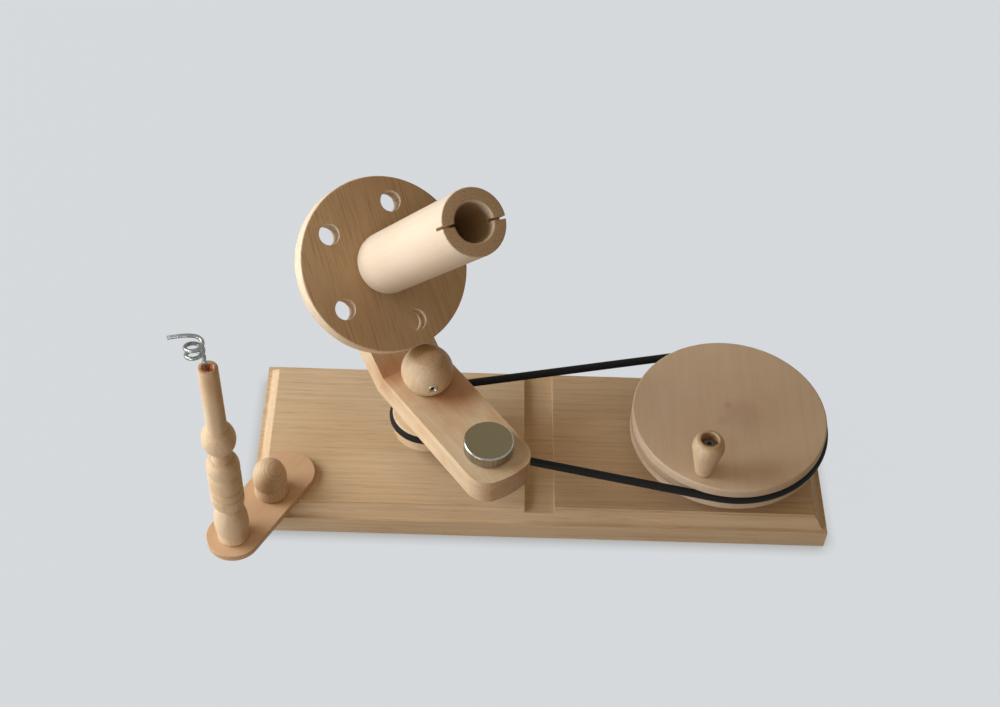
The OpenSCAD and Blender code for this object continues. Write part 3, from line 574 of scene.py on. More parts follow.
@dataclass(frozen=True)
class MetalFinish:
    """Bare metal with fine tool marks round its axis and faint streaks along it.

    Its top end may have a painted tone, which stands in for the darker reflection of its polished
    face.
    Real tool marks are about a tenth of a millimetre apart, too fine to show, so these are drawn
    coarser.
    """

    name: str
    colour: str
    shade: str
    roughness: float
    rough_share: tuple[float, float] = (0.8, 1.25)
    mark_mm: float = 0.9
    mark_depth: float = 0.4
    mark_rise_mm: float = 0.02
    streak_mm: float = 1.4
    streak_long_mm: float = 24.0
    streak_levels: tuple[float, float] = (0.35, 0.65)
    painted_top_tone: str = ""

    def marks(self, tree: bpy.types.NodeTree, place: Socket) -> Socket:
        """Adds tool marks that run round the axis.

        Args:
            tree: The node tree.
            place: The place in the pattern, with the axis as Z.

        Returns:
            Height of the marks.
        """
        flat = add_node(
            tree, "ShaderNodeVectorMath", {"operation": "MULTIPLY", 1: (1.0, 1.0, 0.0)}, {0: place}
        ).outputs[0]
        radius = add_node(
            tree, "ShaderNodeVectorMath", {"operation": "LENGTH"}, {0: flat}
        ).outputs["Value"]
        height = add_node(tree, "ShaderNodeSeparateXYZ", links={"Vector": place}).outputs["Z"]
        rings = add_node(
            tree, "ShaderNodeCombineXYZ", links={"X": radius, "Y": height}
        ).outputs["Vector"]
        return mottle(tree, rings, (self.mark_mm,) * 3, detail=2.0)

    def tones(
        self, tree: bpy.types.NodeTree, place: Socket, facing: Socket, axis: Vector
    ) -> Socket:
        """Streaks the metal along its axis and paints on its top end a tone that stands in for its
        darker reflection.

        Args:
            tree: The node tree.
            place: The place in the pattern, with the axis as Z.
            facing: Direction that the surface faces.
            axis: Axis that the marks run round.

        Returns:
            The colour.
        """
        cell_mm = (self.streak_mm, self.streak_mm, self.streak_long_mm)
        low, high = self.streak_levels
        colour = set_ramp(
            add_node(
                tree, "ShaderNodeValToRGB", links={"Fac": mottle(tree, place, cell_mm, detail=3.0)}
            ),
            [(low, linear(self.shade)), (high, linear(self.colour))],
        ).outputs["Color"]
        if not self.painted_top_tone:
            return colour
        turned = add_node(
            tree, "ShaderNodeVectorMath", {"operation": "DOT_PRODUCT", 1: axis}, {0: facing}
        ).outputs["Value"]
        return tint(tree, colour, self.painted_top_tone, turned, FLAT_END_LEVELS, 1.0)

    def material(self, piece: str, axis: Vector, centre: Vector) -> bpy.types.Material:
        """Builds this metal for one piece, its tool marks running round an axis.

        Args:
            piece: Name of the piece, which also names the material.
            axis: Axis that the marks run round.
            centre: A point on that axis.

        Returns:
            The material.
        """
        material, tree, shader = new_material(f"{self.name}_{piece}")
        axis = axis.normalized()
        turn = axis.to_track_quat("Z", "Y").to_matrix().transposed()
        here, place = pattern_place(tree, turn, centre)
        colour = self.tones(tree, place, here["Normal"], axis)
        marks = self.marks(tree, place)
        smoother, rougher = self.rough_share
        roughness = (self.roughness * smoother, self.roughness * rougher)
        set_surface(
            tree, shader, colour, marks, ROUGH_LEVELS, roughness,
            marks, self.mark_depth, self.mark_rise_mm,
        )
        shader.inputs["Metallic"].default_value = 1.0
        return material


@dataclass(frozen=True)
class RubberFinish:
    """Matt extruded rubber or cured glue, unevenly dusted.

    Its grain is drawn coarser than the real one, which is too fine to show.
    """

    name: str
    colour: str
    dust: str
    roughness: float = 0.5
    rough_spread: tuple[float, float] = (-0.08, 0.12)
    grain_mm: float = 1.1
    grain_bump: float = 0.3
    grain_rise_mm: float = 0.05
    dust_mm: float = 18.0
    dust_levels: tuple[float, float] = (0.4, 0.75)
    ior: float = 1.5

    def material(self, piece: str) -> bpy.types.Material:
        """Builds this finish for one piece.

        Args:
            piece: Name of the piece, which also names the material.

        Returns:
            The material.
        """
        material, tree, shader = new_material(f"{self.name}_{piece}")
        place = pattern_place(tree, Matrix.Identity(3), Vector())[1]
        grain = mottle(tree, place, (self.grain_mm,) * 3, detail=3.0)
        cloud = mottle(tree, place, (self.dust_mm,) * 3, detail=2.0)
        low, high = self.dust_levels
        colour = set_ramp(
            add_node(tree, "ShaderNodeValToRGB", links={"Fac": cloud}),
            [(low, linear(self.colour)), (high, linear(self.dust))],
        ).outputs["Color"]
        smoother, rougher = self.rough_spread
        roughness = (self.roughness + smoother, self.roughness + rougher)
        set_surface(
            tree, shader, colour, grain, WHOLE, roughness,
            grain, self.grain_bump, self.grain_rise_mm,
        )
        shader.inputs["IOR"].default_value = self.ior
        return material


# Board: softwood such as pine, planed and oiled. Long straight grain with clear late wood.
BOARD_PINE = WoodFinish(
    "oiled_pine", light="dcc5a2", dark="a07a4a", warm="d0aa7c", ring_mm=5.2, ring_depth=0.12,
    streak_mm=2.4, streak_long_mm=150.0, streak_depth=0.3, fleck_depth=0.42, fleck_mm=(26.0, 1.0),
    end_grain_and_shade_depth=0.15, pith_mm=(22.0, -85.0),
)
# Turned pieces: beech, sanded and oiled. Uneven tone with short ray flecks.
TURNED_BEECH = WoodFinish(
    "oiled_beech", light="dfc9a8", dark="b08c60", warm="cba77c", ring_mm=3.4, ring_depth=0.12,
    streak_mm=2.2, streak_depth=0.25, patch_mm=16.0, patch_depth=0.6, fleck_depth=0.3,
)
# Clamp knob: the same beech, turned across the grain, so that its growth rings show.
RINGED_BEECH = WoodFinish(
    "ringed_beech", light="dfc9a8", dark="a67f50", warm="cba77c", ring_mm=2.3, ring_depth=0.5,
    streak_mm=2.2, streak_depth=0.2, patch_mm=16.0, patch_depth=0.5, fleck_depth=0.2,
    end_grain_and_shade_depth=0.2, pith_mm=(9.0, -12.0),
)
# Tube: the palest beech, turned and sanded, nearly plain.
PALE_BEECH = WoodFinish(
    "pale_beech", light="e2d3be", dark="cdb38c", warm="e0cba9", ring_mm=4.2, ring_depth=0.08,
    streak_mm=2.4, streak_depth=0.16, patch_mm=24.0, patch_depth=0.35, fleck_depth=0.12,
    end_grain_and_shade_depth=0.75,
)
# Disc: beech. Its rim is sanded pale, and its flats are painted darker and browner: partly a sawn
# surface, partly painted shade.
DISC_BEECH_SHADED_FLATS = WoodFinish(
    "sawn_beech_shaded_flats", light="eadcc2", dark="b18a55", warm="dcbc92", ring_mm=7.0, ring_depth=0.06,
    streak_mm=1.9, streak_long_mm=60.0, streak_depth=0.3, patch_depth=0.35, fleck_depth=0.35,
    fleck_mm=(9.0, 0.9), end_grain_and_shade_depth=0.68, pore="9b7547",
)
# Wheel: sanded beech with a faint pink cast and faint lines from front to back.
WHEEL_BEECH = WoodFinish(
    "wheel_beech", light="dcc8ad", dark="b39a78", warm="cfb396", ring_mm=9.0, ring_depth=0.05,
    streak_mm=3.0, streak_depth=0.14, patch_mm=38.0, patch_depth=0.5, fleck_depth=0.1,
    end_grain_and_shade_depth=0.1,
    smudges=(
        Smudge((159.0, 1.0, 65.5), 20.0, 0.24, "9c754c"),
        Smudge((147.0, 9.0, 65.5), 5.0, 0.24, "8c6b4c"),
        Smudge((142.0, -7.0, 65.5), 7.0, 0.16, "8c6b4c"),
    ),
)
# Arm: alder, sanded and oiled, with two soft reddish patches on its top.
ARM_ALDER = WoodFinish(
    "oiled_alder", light="dfcbaa", dark="b28a57", warm="cf9a68", ring_mm=8.5, ring_depth=0.2,
    streak_mm=3.4, streak_depth=0.24, patch_mm=15.0, patch_depth=0.5, fleck_depth=0.2,
    end_grain_and_shade_depth=0.55,
    smudges=(
        Smudge((-71.0, -12.0, 93.5), 26.0, 0.6, "b4703c"),
        Smudge((-117.0, 8.0, 93.5), 20.0, 0.6, "b4703c"),
    ),
)
# Link: oiled cherry, warmer than the other woods and nearly without figure.
LINK_CHERRY = WoodFinish(
    "oiled_cherry", light="d6b590", dark="bb9368", warm="cca27a", ring_mm=6.0, ring_depth=0.08,
    streak_mm=2.4, streak_depth=0.16, fleck_depth=0.12,
)
# Rods, nuts and collars: plain turned steel, grey with soft highlights.
TURNED_STEEL = MetalFinish("turned_steel", colour="a8a8a6", shade="8e8d89", roughness=0.32)
# Counterweight: faced in the lathe and polished, so it mirrors softly.
FACED_STEEL = MetalFinish(
    "faced_steel", colour="b4b1a6", shade="97938a", roughness=0.2, mark_mm=0.7, mark_depth=0.2,
    # Painted reflection: the top face is a dark brown that stands in for what the polished top
    # mirrors.
    painted_top_tone="837456",
)
# Wire: bright zinc-plated steel, grey with narrow highlights.
PLATED_WIRE = MetalFinish("plated_wire", colour="9fa09c", shade="85867f", roughness=0.3)
# Threaded insert: bright nickel plate, pale and almost a mirror.
NICKEL = MetalFinish(
    "nickel_plate", colour="e6e2d6", shade="cfcabb", roughness=0.14, mark_depth=0.1
)
# Crank screw: its head lies deep in the knob, and its dark brown is painted shade of that hole. It
# is rough, so it hardly shines.
SHADED_SCREW_STEEL = MetalFinish("screw_steel_painted_shade", colour="6c6250", shade="574d3d", roughness=0.5)
# Bushes: sintered bronze, a dull brown gold.
BRONZE = MetalFinish("sintered_bronze", colour="b98f58", shade="9c7442", roughness=0.4)
# Belt: extruded rubber cord, nearly black. It mirrors less in the photograph than rubber
# with its usual IOR of 1.5 would, so its IOR is lower.
BELT_RUBBER = RubberFinish("belt_rubber", colour="0c0a08", dust="15120f", roughness=0.68, ior=1.32)
# Glue round the wire's foot: cured hide glue, orange and rather glossy.
GLUE = RubberFinish("hide_glue", colour="cc6436", dust="dc8a58", roughness=0.3)


def pick_only(piece: bpy.types.Object) -> None:
    """Deselects everything, then selects this piece and makes it active."""
    if bpy.context.object is not None and bpy.context.object.mode != "OBJECT":
        bpy.ops.object.mode_set(mode="OBJECT")
    bpy.ops.object.select_all(action="DESELECT")
    piece.select_set(True)
    bpy.context.view_layer.objects.active = piece


def apply_modifier(piece: bpy.types.Object, kind: str, **settings: object) -> None:
    """Adds a modifier with its settings and applies it.

    Args:
        piece: The piece to change.
        kind: The modifier's type name.
        settings: Properties of the modifier.
    """
    pick_only(piece)
    modifier = piece.modifiers.new(kind.lower(), kind)
    for name, value in settings.items():
        setattr(modifier, name, value)
    bpy.ops.object.modifier_apply(modifier=modifier.name)


def smooth(piece: bpy.types.Object, angle_deg: float) -> None:
    """Shades a piece smooth, except over edges sharper than the angle."""
    pick_only(piece)
    bpy.ops.object.shade_smooth_by_angle(angle=math.radians(angle_deg))


def copy_of_node(node: str, name: str) -> bpy.types.Object:
    """Copies a CAD node's mesh into a new piece whose faces are joined.

    Args:
        node: The CAD node.
        name: Name of the new piece.

    Returns:
        The new piece, at the origin as the node is.
    """
    piece = bpy.data.objects.new(name, frame["nodes"][node].data.copy())
    bpy.context.scene.collection.objects.link(piece)
    piece.data.materials.clear()
    pick_only(piece)
    bpy.ops.object.mode_set(mode="EDIT")
    bpy.ops.mesh.select_all(action="SELECT")
    bpy.ops.mesh.customdata_custom_splitnormals_clear()
    bpy.ops.mesh.remove_doubles(threshold=MERGE_MM * MM)
    bpy.ops.mesh.dissolve_limited(angle_limit=math.radians(FLAT_DEG))
    bpy.ops.object.mode_set(mode="OBJECT")
    return piece


def soften(piece: bpy.types.Object, width_mm: float, angle_deg: float) -> None:
    """Rounds a piece's sharp edges, as sanding does, and shades it smooth.

    Args:
        piece: The piece to change.
        width_mm: Width of the rounding.
        angle_deg: Edges sharper than this are rounded.
    """
    smooth(piece, angle_deg)
    apply_modifier(
        piece,
        "BEVEL",
        width=width_mm * MM,
        segments=3,
        limit_method="ANGLE",
        angle_limit=math.radians(angle_deg),
        harden_normals=True,
    )


def put_on(
    piece: bpy.types.Object, body: str, node: str, material: bpy.types.Material
) -> None:
    """Dresses a new piece, hides the CAD node that it stands for and lets it ride.

    Args:
        piece: The new piece.
        body: CAD body that it moves with.
        node: CAD node that it replaces.
        material: Its material.
    """
    piece.data.materials.append(material)
    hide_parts(node)
    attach(piece, body)
    LOG.info("%s stands for %s on %s", piece.name, node, body)


def dress_copy(
    node: str,
    name: str,
    body: str,
    material: bpy.types.Material,
    edge_mm: float,
    angle_deg: float = SHARP_DEG,
) -> None:
    """Makes a piece of a CAD node's own shape, with softened edges, and puts it on.

    Args:
        node: The CAD node, which the piece replaces.
        name: Name of the piece.
        body: CAD body that it moves with.
        material: Its material.
        edge_mm: Width of its rounded edges.
        angle_deg: Edges sharper than this are rounded.
    """
    piece = copy_of_node(node, name)
    soften(piece, edge_mm, angle_deg)
    put_on(piece, body, node, material)


def middle(node: str) -> Vector:
    """Returns the middle of a CAD node's box."""
    low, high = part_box(node)
    return (low + high) / 2


def joint_of(name: str) -> dict:
    """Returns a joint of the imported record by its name."""
    return next(j for j in frame["joints"] if j["name"] == name)


def tube_along(
    name: str, points: list[Vector], radius: float, closed: bool, sides: int = 8
) -> bpy.types.Object:
    """Sweeps a round tube along points and makes it a mesh.

    Args:
        name: Name of the piece.
        points: Points of the centre line.
        radius: Radius of the tube.
        closed: Whether the last point meets the first.
        sides: Blender's resolution of the section, which gives it twice as many facets and two.

    Returns:
        The tube as a mesh piece.
    """
    curve = bpy.data.curves.new(name, "CURVE")
    curve.dimensions = "3D"
    curve.bevel_depth = radius
    curve.bevel_resolution = sides
    curve.use_fill_caps = not closed
    spline = curve.splines.new("POLY")
    spline.points.add(len(points) - 1)
    for knot, point in zip(spline.points, points):
        knot.co = (*point, 1.0)
    spline.use_cyclic_u = closed
    piece = bpy.data.objects.new(name, curve)
    bpy.context.scene.collection.objects.link(piece)
    pick_only(piece)
    bpy.ops.object.convert(target="MESH")
    made = bpy.context.object
    smooth(made, TUBE_SMOOTH_DEG)
    return made


def turn_profile(name: str, profile: list[tuple[float, float]], steps: int) -> bpy.types.Object:
    """Turns a profile round the Z axis, as on a lathe.

    Args:
        name: Name of the piece.
        profile: Radius and height of each point, from the foot's middle to the top's.
        steps: Facets in a full turn.

    Returns:
        The turned piece round the Z axis at the origin.
    """
    mesh = bpy.data.meshes.new(name)
    mesh.from_pydata(
        [(radius, 0.0, height) for radius, height in profile],
        [(i, i + 1) for i in range(len(profile) - 1)],
        [],
    )
    piece = bpy.data.objects.new(name, mesh)
    bpy.context.scene.collection.objects.link(piece)
    pick_only(piece)
    bpy.ops.object.mode_set(mode="EDIT")
    bpy.ops.mesh.select_all(action="SELECT")
    bpy.ops.mesh.spin(
        steps=steps, angle=math.tau, center=(0, 0, 0), axis=(0, 0, 1), use_auto_merge=True
    )
    bpy.ops.mesh.select_all(action="SELECT")
    bpy.ops.mesh.remove_doubles(threshold=SEAM_MM * MM)
    bpy.ops.mesh.normals_make_consistent(inside=False)
    bpy.ops.object.mode_set(mode="OBJECT")
    return piece


class SubAssembly(ABC):
    """Pieces that are built and dressed together."""

    @abstractmethod
    def build(self) -> None:
        """Builds every piece in order."""


@dataclass
class BaseBoard(SubAssembly):
    """Moulded board and the fixed pieces on it."""

    edge_mm: float = 0.5
    edge_angle_deg: float = 30.0
    dome_edge_mm: float = 0.3
    dome_grain: tuple[float, float, float] = (0.25, 0.2, 0.95)
    rod_edge_mm: float = 0.3
    nut_edge_mm: float = 0.25
    belt_radius: float = 3.2 * MM
    wheel_groove: float = 75.9 * MM
    pulley_groove: float = 26.4 * MM
    arc_steps: int = 96

    def build_board(self) -> None:
        """Softens the board's arrises and dresses it in pine."""
        wood = BOARD_PINE.material("board", Axis.LENGTH.vector, middle("base_board"))
        dress_copy(
            "base_board", "oiled_board", "base", wood,
            self.edge_mm, self.edge_angle_deg,
        )

    def build_belt(self) -> None:
        """Sweeps the belt round both grooves as one smooth closed cord."""
        wheel = Vector(joint_of("wheel_spin")["pos_m"])
        rotor = Vector(joint_of("rotor_spin")["pos_m"])
        height = middle("drive_belt").z
        wrap = math.acos((self.pulley_groove - self.wheel_groove) / (wheel.x - rotor.x))
        points = []
        for axle, groove, start, span in (
            (wheel, self.wheel_groove, -wrap, 2 * wrap),
            (rotor, self.pulley_groove, wrap, math.tau - 2 * wrap),
        ):
            for i in range(self.arc_steps + 1):
                angle = start + span * i / self.arc_steps
                points.append(
                    Vector((axle.x + groove * math.cos(angle), groove * math.sin(angle), height))
                )
        belt = tube_along("round_belt", points, self.belt_radius, closed=True)
        put_on(belt, "base", "drive_belt", BELT_RUBBER.material("belt"))

    def build_dome(self) -> None:
        """Dresses the friction dome, its grain nearly upright, and the metal in its side."""
        wood = TURNED_BEECH.material("dome", Vector(self.dome_grain), middle("friction_dome"))
        dress_copy(
            "friction_dome", "turned_dome", "base", wood, self.dome_edge_mm
        )
        out = (middle("dome_insert") - middle("friction_dome")).to_2d().to_3d()
        for node, finish, piece in (
            ("dome_insert", NICKEL, "threaded_insert"),
            ("dome_set_screw", TURNED_STEEL, "set_screw"),
        ):
            metal = finish.material(piece, out, middle(node))
            dress_copy(node, piece, "base", metal, self.nut_edge_mm)

    def dress_hidden(self) -> None:
        """Dresses the steel that shows only from below or from the side."""
        for node, edge_mm in (
            ("centre_post", self.rod_edge_mm),
            ("post_collar", self.rod_edge_mm),
            ("wheel_axle", self.rod_edge_mm),
            ("wheel_collar", self.rod_edge_mm),
            ("guide_tee_nut", self.rod_edge_mm),
            ("underside_nuts", self.nut_edge_mm),
            ("underside_washers", self.nut_edge_mm),
        ):
            steel = TURNED_STEEL.material(node, Axis.UP.vector, middle(node))
            dress_copy(node, f"steel_{node}", "base", steel, edge_mm)

    def build(self) -> None:
        """Builds every piece of the board in order."""
        self.build_board()
        self.build_belt()
        self.build_dome()
        self.dress_hidden()


@dataclass
class CrankWheel(SubAssembly):
    """Grooved wheel with its bush and the crank knob."""

    edge_mm: float = 0.4
    knob_angle_deg: float = 45.0
    metal_edge_mm: float = 0.2

    def build(self) -> None:
        """Builds the wheel, the knob and the screw that holds the knob."""
        wood = WHEEL_BEECH.material("wheel", Axis.DEPTH.vector, middle("drive_wheel"))
        dress_copy(
            "drive_wheel", "crank_wheel", "drive_wheel", wood, self.edge_mm
        )
        wood = TURNED_BEECH.material("crank_knob", Axis.UP.vector, middle("crank_knob"))
        dress_copy(
            "crank_knob", "turned_crank_knob", "crank_knob", wood,
            self.edge_mm, self.knob_angle_deg,
        )
        for node, finish, slot in (
            # The crank screw's dark brown is painted shade of the deep hole in the knob.
            ("crank_screw", SHADED_SCREW_STEEL, "steel"),
            ("crank_washer", TURNED_STEEL, "steel"),
            ("crank_sleeve", BRONZE, "bronze"),
            ("wheel_bush", BRONZE, "bronze"),
        ):
            metal = finish.material(node, Axis.UP.vector, middle(node))
            dress_copy(
                node, f"{finish.name}_{node}", "drive_wheel", metal, self.metal_edge_mm
            )


@dataclass
class Rotor(SubAssembly):
    """Pulley and cranked arm with the counterweight and the spindle's axle."""

    arm_edge_mm: float = 0.6
    arm_angle_deg: float = 35.0
    pulley_edge_mm: float = 0.4
    weight_angle_deg: float = 25.0
    metal_edge_mm: float = 0.25

    def build_arm(self) -> None:
        """Dresses the arm's two pieces, each with the grain along its own length."""
        spindle_axis = Vector(joint_of("spindle_spin")["axis"])
        ahead = Vector((spindle_axis.x, spindle_axis.y, 0)).normalized()
        up_limb = (Axis.UP.vector - spindle_axis * spindle_axis.z).normalized()
        for node, piece, grain in (
            ("rotor_arm", "arm_flat", ahead),
            ("rotor_limb", "arm_limb", up_limb),
        ):
            wood = ARM_ALDER.material(piece, grain, middle("rotor_limb"))
            dress_copy(
                node, piece, "rotor", wood, self.arm_edge_mm, self.arm_angle_deg
            )

    def build(self) -> None:
        """Builds every piece of the rotor in order."""
        self.build_arm()
        spindle_axis = Vector(joint_of("spindle_spin")["axis"])
        wood = TURNED_BEECH.material("pulley", Axis.LENGTH.vector, middle("pulley"))
        dress_copy("pulley", "turned_pulley", "rotor", wood, self.pulley_edge_mm)
        steel = FACED_STEEL.material("weight", Axis.UP.vector, middle("counterweight"))
        dress_copy(
            "counterweight", "steel_weight", "rotor", steel,
            self.metal_edge_mm, self.weight_angle_deg,
        )
        for node, finish, slot, axis in (
            ("pulley_bush", BRONZE, "bronze", Axis.UP.vector),
            ("arm_bush", BRONZE, "bronze", Axis.UP.vector),
            ("pulley_screws", TURNED_STEEL, "steel", Axis.UP.vector),
            ("counterweight_screw", TURNED_STEEL, "steel", Axis.UP.vector),
            ("spindle_axle", TURNED_STEEL, "steel", spindle_axis),
            ("spindle_lock_nut", TURNED_STEEL, "steel", spindle_axis),
            ("spindle_collar", TURNED_STEEL, "steel", spindle_axis),
            ("spindle_end_washer", TURNED_STEEL, "steel", spindle_axis),
            ("spindle_end_nut", TURNED_STEEL, "steel", spindle_axis),
        ):
            metal = finish.material(node, axis, middle(node))
            dress_copy(node, f"{finish.name}_{node}", "rotor", metal, self.metal_edge_mm)


@dataclass
class Spindle(SubAssembly):
    """Winding disc and slotted tube with their bushes.

    The disc's grain leans this share of the way from straight up its face to level.
    """

    disc_edge_mm: float = 0.6
    disc_angle_deg: float = 35.0
    disc_grain_lean: float = 0.15
    tube_edge_mm: float = 0.35
    metal_edge_mm: float = 0.2

    def build(self) -> None:
        """Builds the disc, the tube and their hidden pieces."""
        axis = Vector(joint_of("spindle_spin")["axis"])
        centre = Vector(joint_of("spindle_spin")["pos_m"])
        level = Axis.UP.vector.cross(axis).normalized()
        grain = axis.cross(level) + self.disc_grain_lean * level
        # The disc's flats are darkened and browned: partly a sawn surface, partly painted shade.
        wood = DISC_BEECH_SHADED_FLATS.material("disc", grain, centre, end_grain_and_shade_axis=axis)
        dress_copy(
            "winding_disc", "winding_disc_sawn", "spindle", wood,
            self.disc_edge_mm, self.disc_angle_deg,
        )
        wood = PALE_BEECH.material("tube", axis, centre)
        dress_copy(
            "winding_tube", "winding_tube_turned", "spindle", wood,
            self.tube_edge_mm,
        )
        for node, finish, slot in (
            ("disc_bush", BRONZE, "bronze"),
            ("tube_bush", BRONZE, "bronze"),
            ("disc_screws", TURNED_STEEL, "steel"),
        ):
            metal = finish.material(node, axis, centre)
            dress_copy(
                node, f"{finish.name}_{node}", "spindle", metal, self.metal_edge_mm
            )


@dataclass
class YarnGuide(SubAssembly):
    """Swivelling link with the turned post, the wire eye and the clamp knob.

    A pull is how far a bend's control point lies from the end of the bend.
    """

    link_edge_mm: float = 0.7
    turned_edge_mm: float = 0.3
    metal_edge_mm: float = 0.2
    knob_grain: tuple[float, float, float] = (0.1, 0.96, 0.25)
    wire_radius: float = 1.4 * MM
    wire_set: float = 17 * MM
    coil_radius: float = 5.9 * MM
    coil_pitch: float = 6.4 * MM
    coil_turns: float = 2.25
    coil_offset: float = 7.2 * MM
    coil_lift: float = 8.4 * MM
    coil_tilt_deg: float = 8.0
    coil_facing_deg: float = 180.0
    coil_steps: int = 96
    rise_pull: float = 5 * MM
    coil_pull: float = 4.5 * MM
    knee_pull: float = 5 * MM
    tip_pull: float = 8 * MM
    bend_steps: int = 24
    tail_length: float = 18 * MM
    tail_drop: float = 2.5 * MM
    well_radius: float = 4.35 * MM
    well_depth: float = 3.0 * MM
    glue_rise: float = 1.5 * MM
    glue_dip: float = 0.6
    glue_steps: int = 12
    glue_facets: int = 48

    def eye_line(self) -> list[Vector]:
        """Returns the wire's centre line, from inside the stem to the end of the tail.

        It is worked out with the post's axis as Z and the coil on +X, then turned and moved.
        """
        tilt = Matrix.Rotation(math.radians(self.coil_tilt_deg), 3, "X")
        coil_axis = Vector((self.coil_offset, 0, self.coil_lift))

        def on_coil(turns: float) -> Vector:
            """Returns the point of the coil after this many turns."""
            angle = math.tau * turns
            rise = self.coil_pitch * turns
            sideways = Vector((-math.cos(angle), -math.sin(angle), 0)) * self.coil_radius
            return coil_axis + tilt @ (sideways + Vector((0, 0, rise)))

        def heading(turns: float) -> Vector:
            """Returns the direction of the wire there."""
            near = 0.001
            return (on_coil(turns + near) - on_coil(turns - near)).normalized()

        start, end = on_coil(0), on_coil(self.coil_turns)
        top = Vector((0, 0, 0))
        tip = end + Vector((self.tail_length, 0, -self.tail_drop))
        knee = end + self.knee_pull * heading(self.coil_turns)
        aim = (tip - knee).normalized()
        above = Vector((0, 0, self.rise_pull))
        below = start - self.coil_pull * heading(0)
        rise = interpolate_bezier(top, above, below, start, self.bend_steps)
        coil = [
            on_coil(self.coil_turns * i / self.coil_steps) for i in range(1, self.coil_steps + 1)
        ]
        tail = interpolate_bezier(end, knee, tip - self.tip_pull * aim, tip, self.bend_steps)
        line = [Vector((0, 0, -self.wire_set)), *rise, *coil, *tail[1:]]
        stem = middle("guide_post")
        stem.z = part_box("guide_post")[1].z
        turn = Matrix.Rotation(math.radians(self.coil_facing_deg), 3, "Z")
        return [stem + turn @ point for point in line]

    def build_eye(self) -> None:
        """Sweeps the wire eye as one smooth round wire."""
        eye = tube_along("bent_wire_eye", self.eye_line(), self.wire_radius, closed=False)
        put_on(
            eye, "guide_arm", "wire_eye",
            PLATED_WIRE.material("eye", Axis.UP.vector, middle("wire_eye")),
        )

    def build_glue(self) -> None:
        """Fills the foot of the post's well with a meniscus of glue round the wire."""
        stem = middle("guide_post")
        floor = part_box("guide_post")[1].z - self.well_depth
        profile = [(0.0, 0.0), (self.well_radius, 0.0)]
        for i in range(self.glue_steps + 1):
            share = i / self.glue_steps
            dip = self.glue_dip * (1 - (2 * share - 1) ** 2)
            profile.append((self.well_radius * (1 - share), self.glue_rise * (1 - dip)))
        glue = turn_profile("well_glue", profile, self.glue_facets)
        glue.data.transform(Matrix.Translation((stem.x, stem.y, floor)))
        smooth(glue, GLUE_SMOOTH_DEG)
        glue.data.materials.append(GLUE.material("well"))
        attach(glue, "guide_arm")
        LOG.info("%s rides on guide_arm", glue.name)

    def build(self) -> None:
        """Builds every piece of the guide in order."""
        away = (middle("guide_knob") - middle("guide_post")).to_2d().to_3d()
        wood = LINK_CHERRY.material("link", away, middle("guide_link"))
        dress_copy(
            "guide_link", "clamped_link", "guide_arm", wood, self.link_edge_mm
        )
        wood = TURNED_BEECH.material("guide_post", Axis.UP.vector, middle("guide_post"))
        dress_copy(
            "guide_post", "turned_guide_post", "guide_arm", wood,
            self.turned_edge_mm,
        )
        wood = RINGED_BEECH.material("acorn", Vector(self.knob_grain), middle("guide_knob"))
        dress_copy(
            "guide_knob", "acorn_knob", "guide_knob", wood, self.turned_edge_mm
        )
        for node, body in (("guide_post_screw", "guide_arm"), ("guide_stud", "guide_knob")):
            steel = TURNED_STEEL.material(node, Axis.UP.vector, middle(node))
            dress_copy(node, f"steel_{node}", body, steel, self.metal_edge_mm)
        self.build_eye()
        self.build_glue()


@dataclass(frozen=True)
class Lamp:
    """Large soft lamp, placed by its direction from the object.

    A level of one lights a surface that faces the lamp so that its colour shows as written,
    which takes this many watts of an area lamp: pi squared times the distance squared.
    """

    name: str
    toward: tuple[float, float, float]
    level: float
    size: float
    distance: float = 1.9
    colour: tuple[float, float, float] = (0.98, 1.0, 1.03)

    def build(self, target: Vector) -> None:
        """Places the lamp and aims it.

        Args:
            target: Point that it lights.
        """
        data = bpy.data.lights.new(self.name, "AREA")
        data.shape = "DISK"
        data.size = self.size
        data.energy = self.level * math.pi**2 * self.distance**2
        data.color = self.colour
        lamp = bpy.data.objects.new(self.name, data)
        bpy.context.scene.collection.objects.link(lamp)
        away = Vector(self.toward).normalized()
        lamp.location = target + away * self.distance
        lamp.rotation_euler = (-away).to_track_quat("-Z", "Y").to_euler()


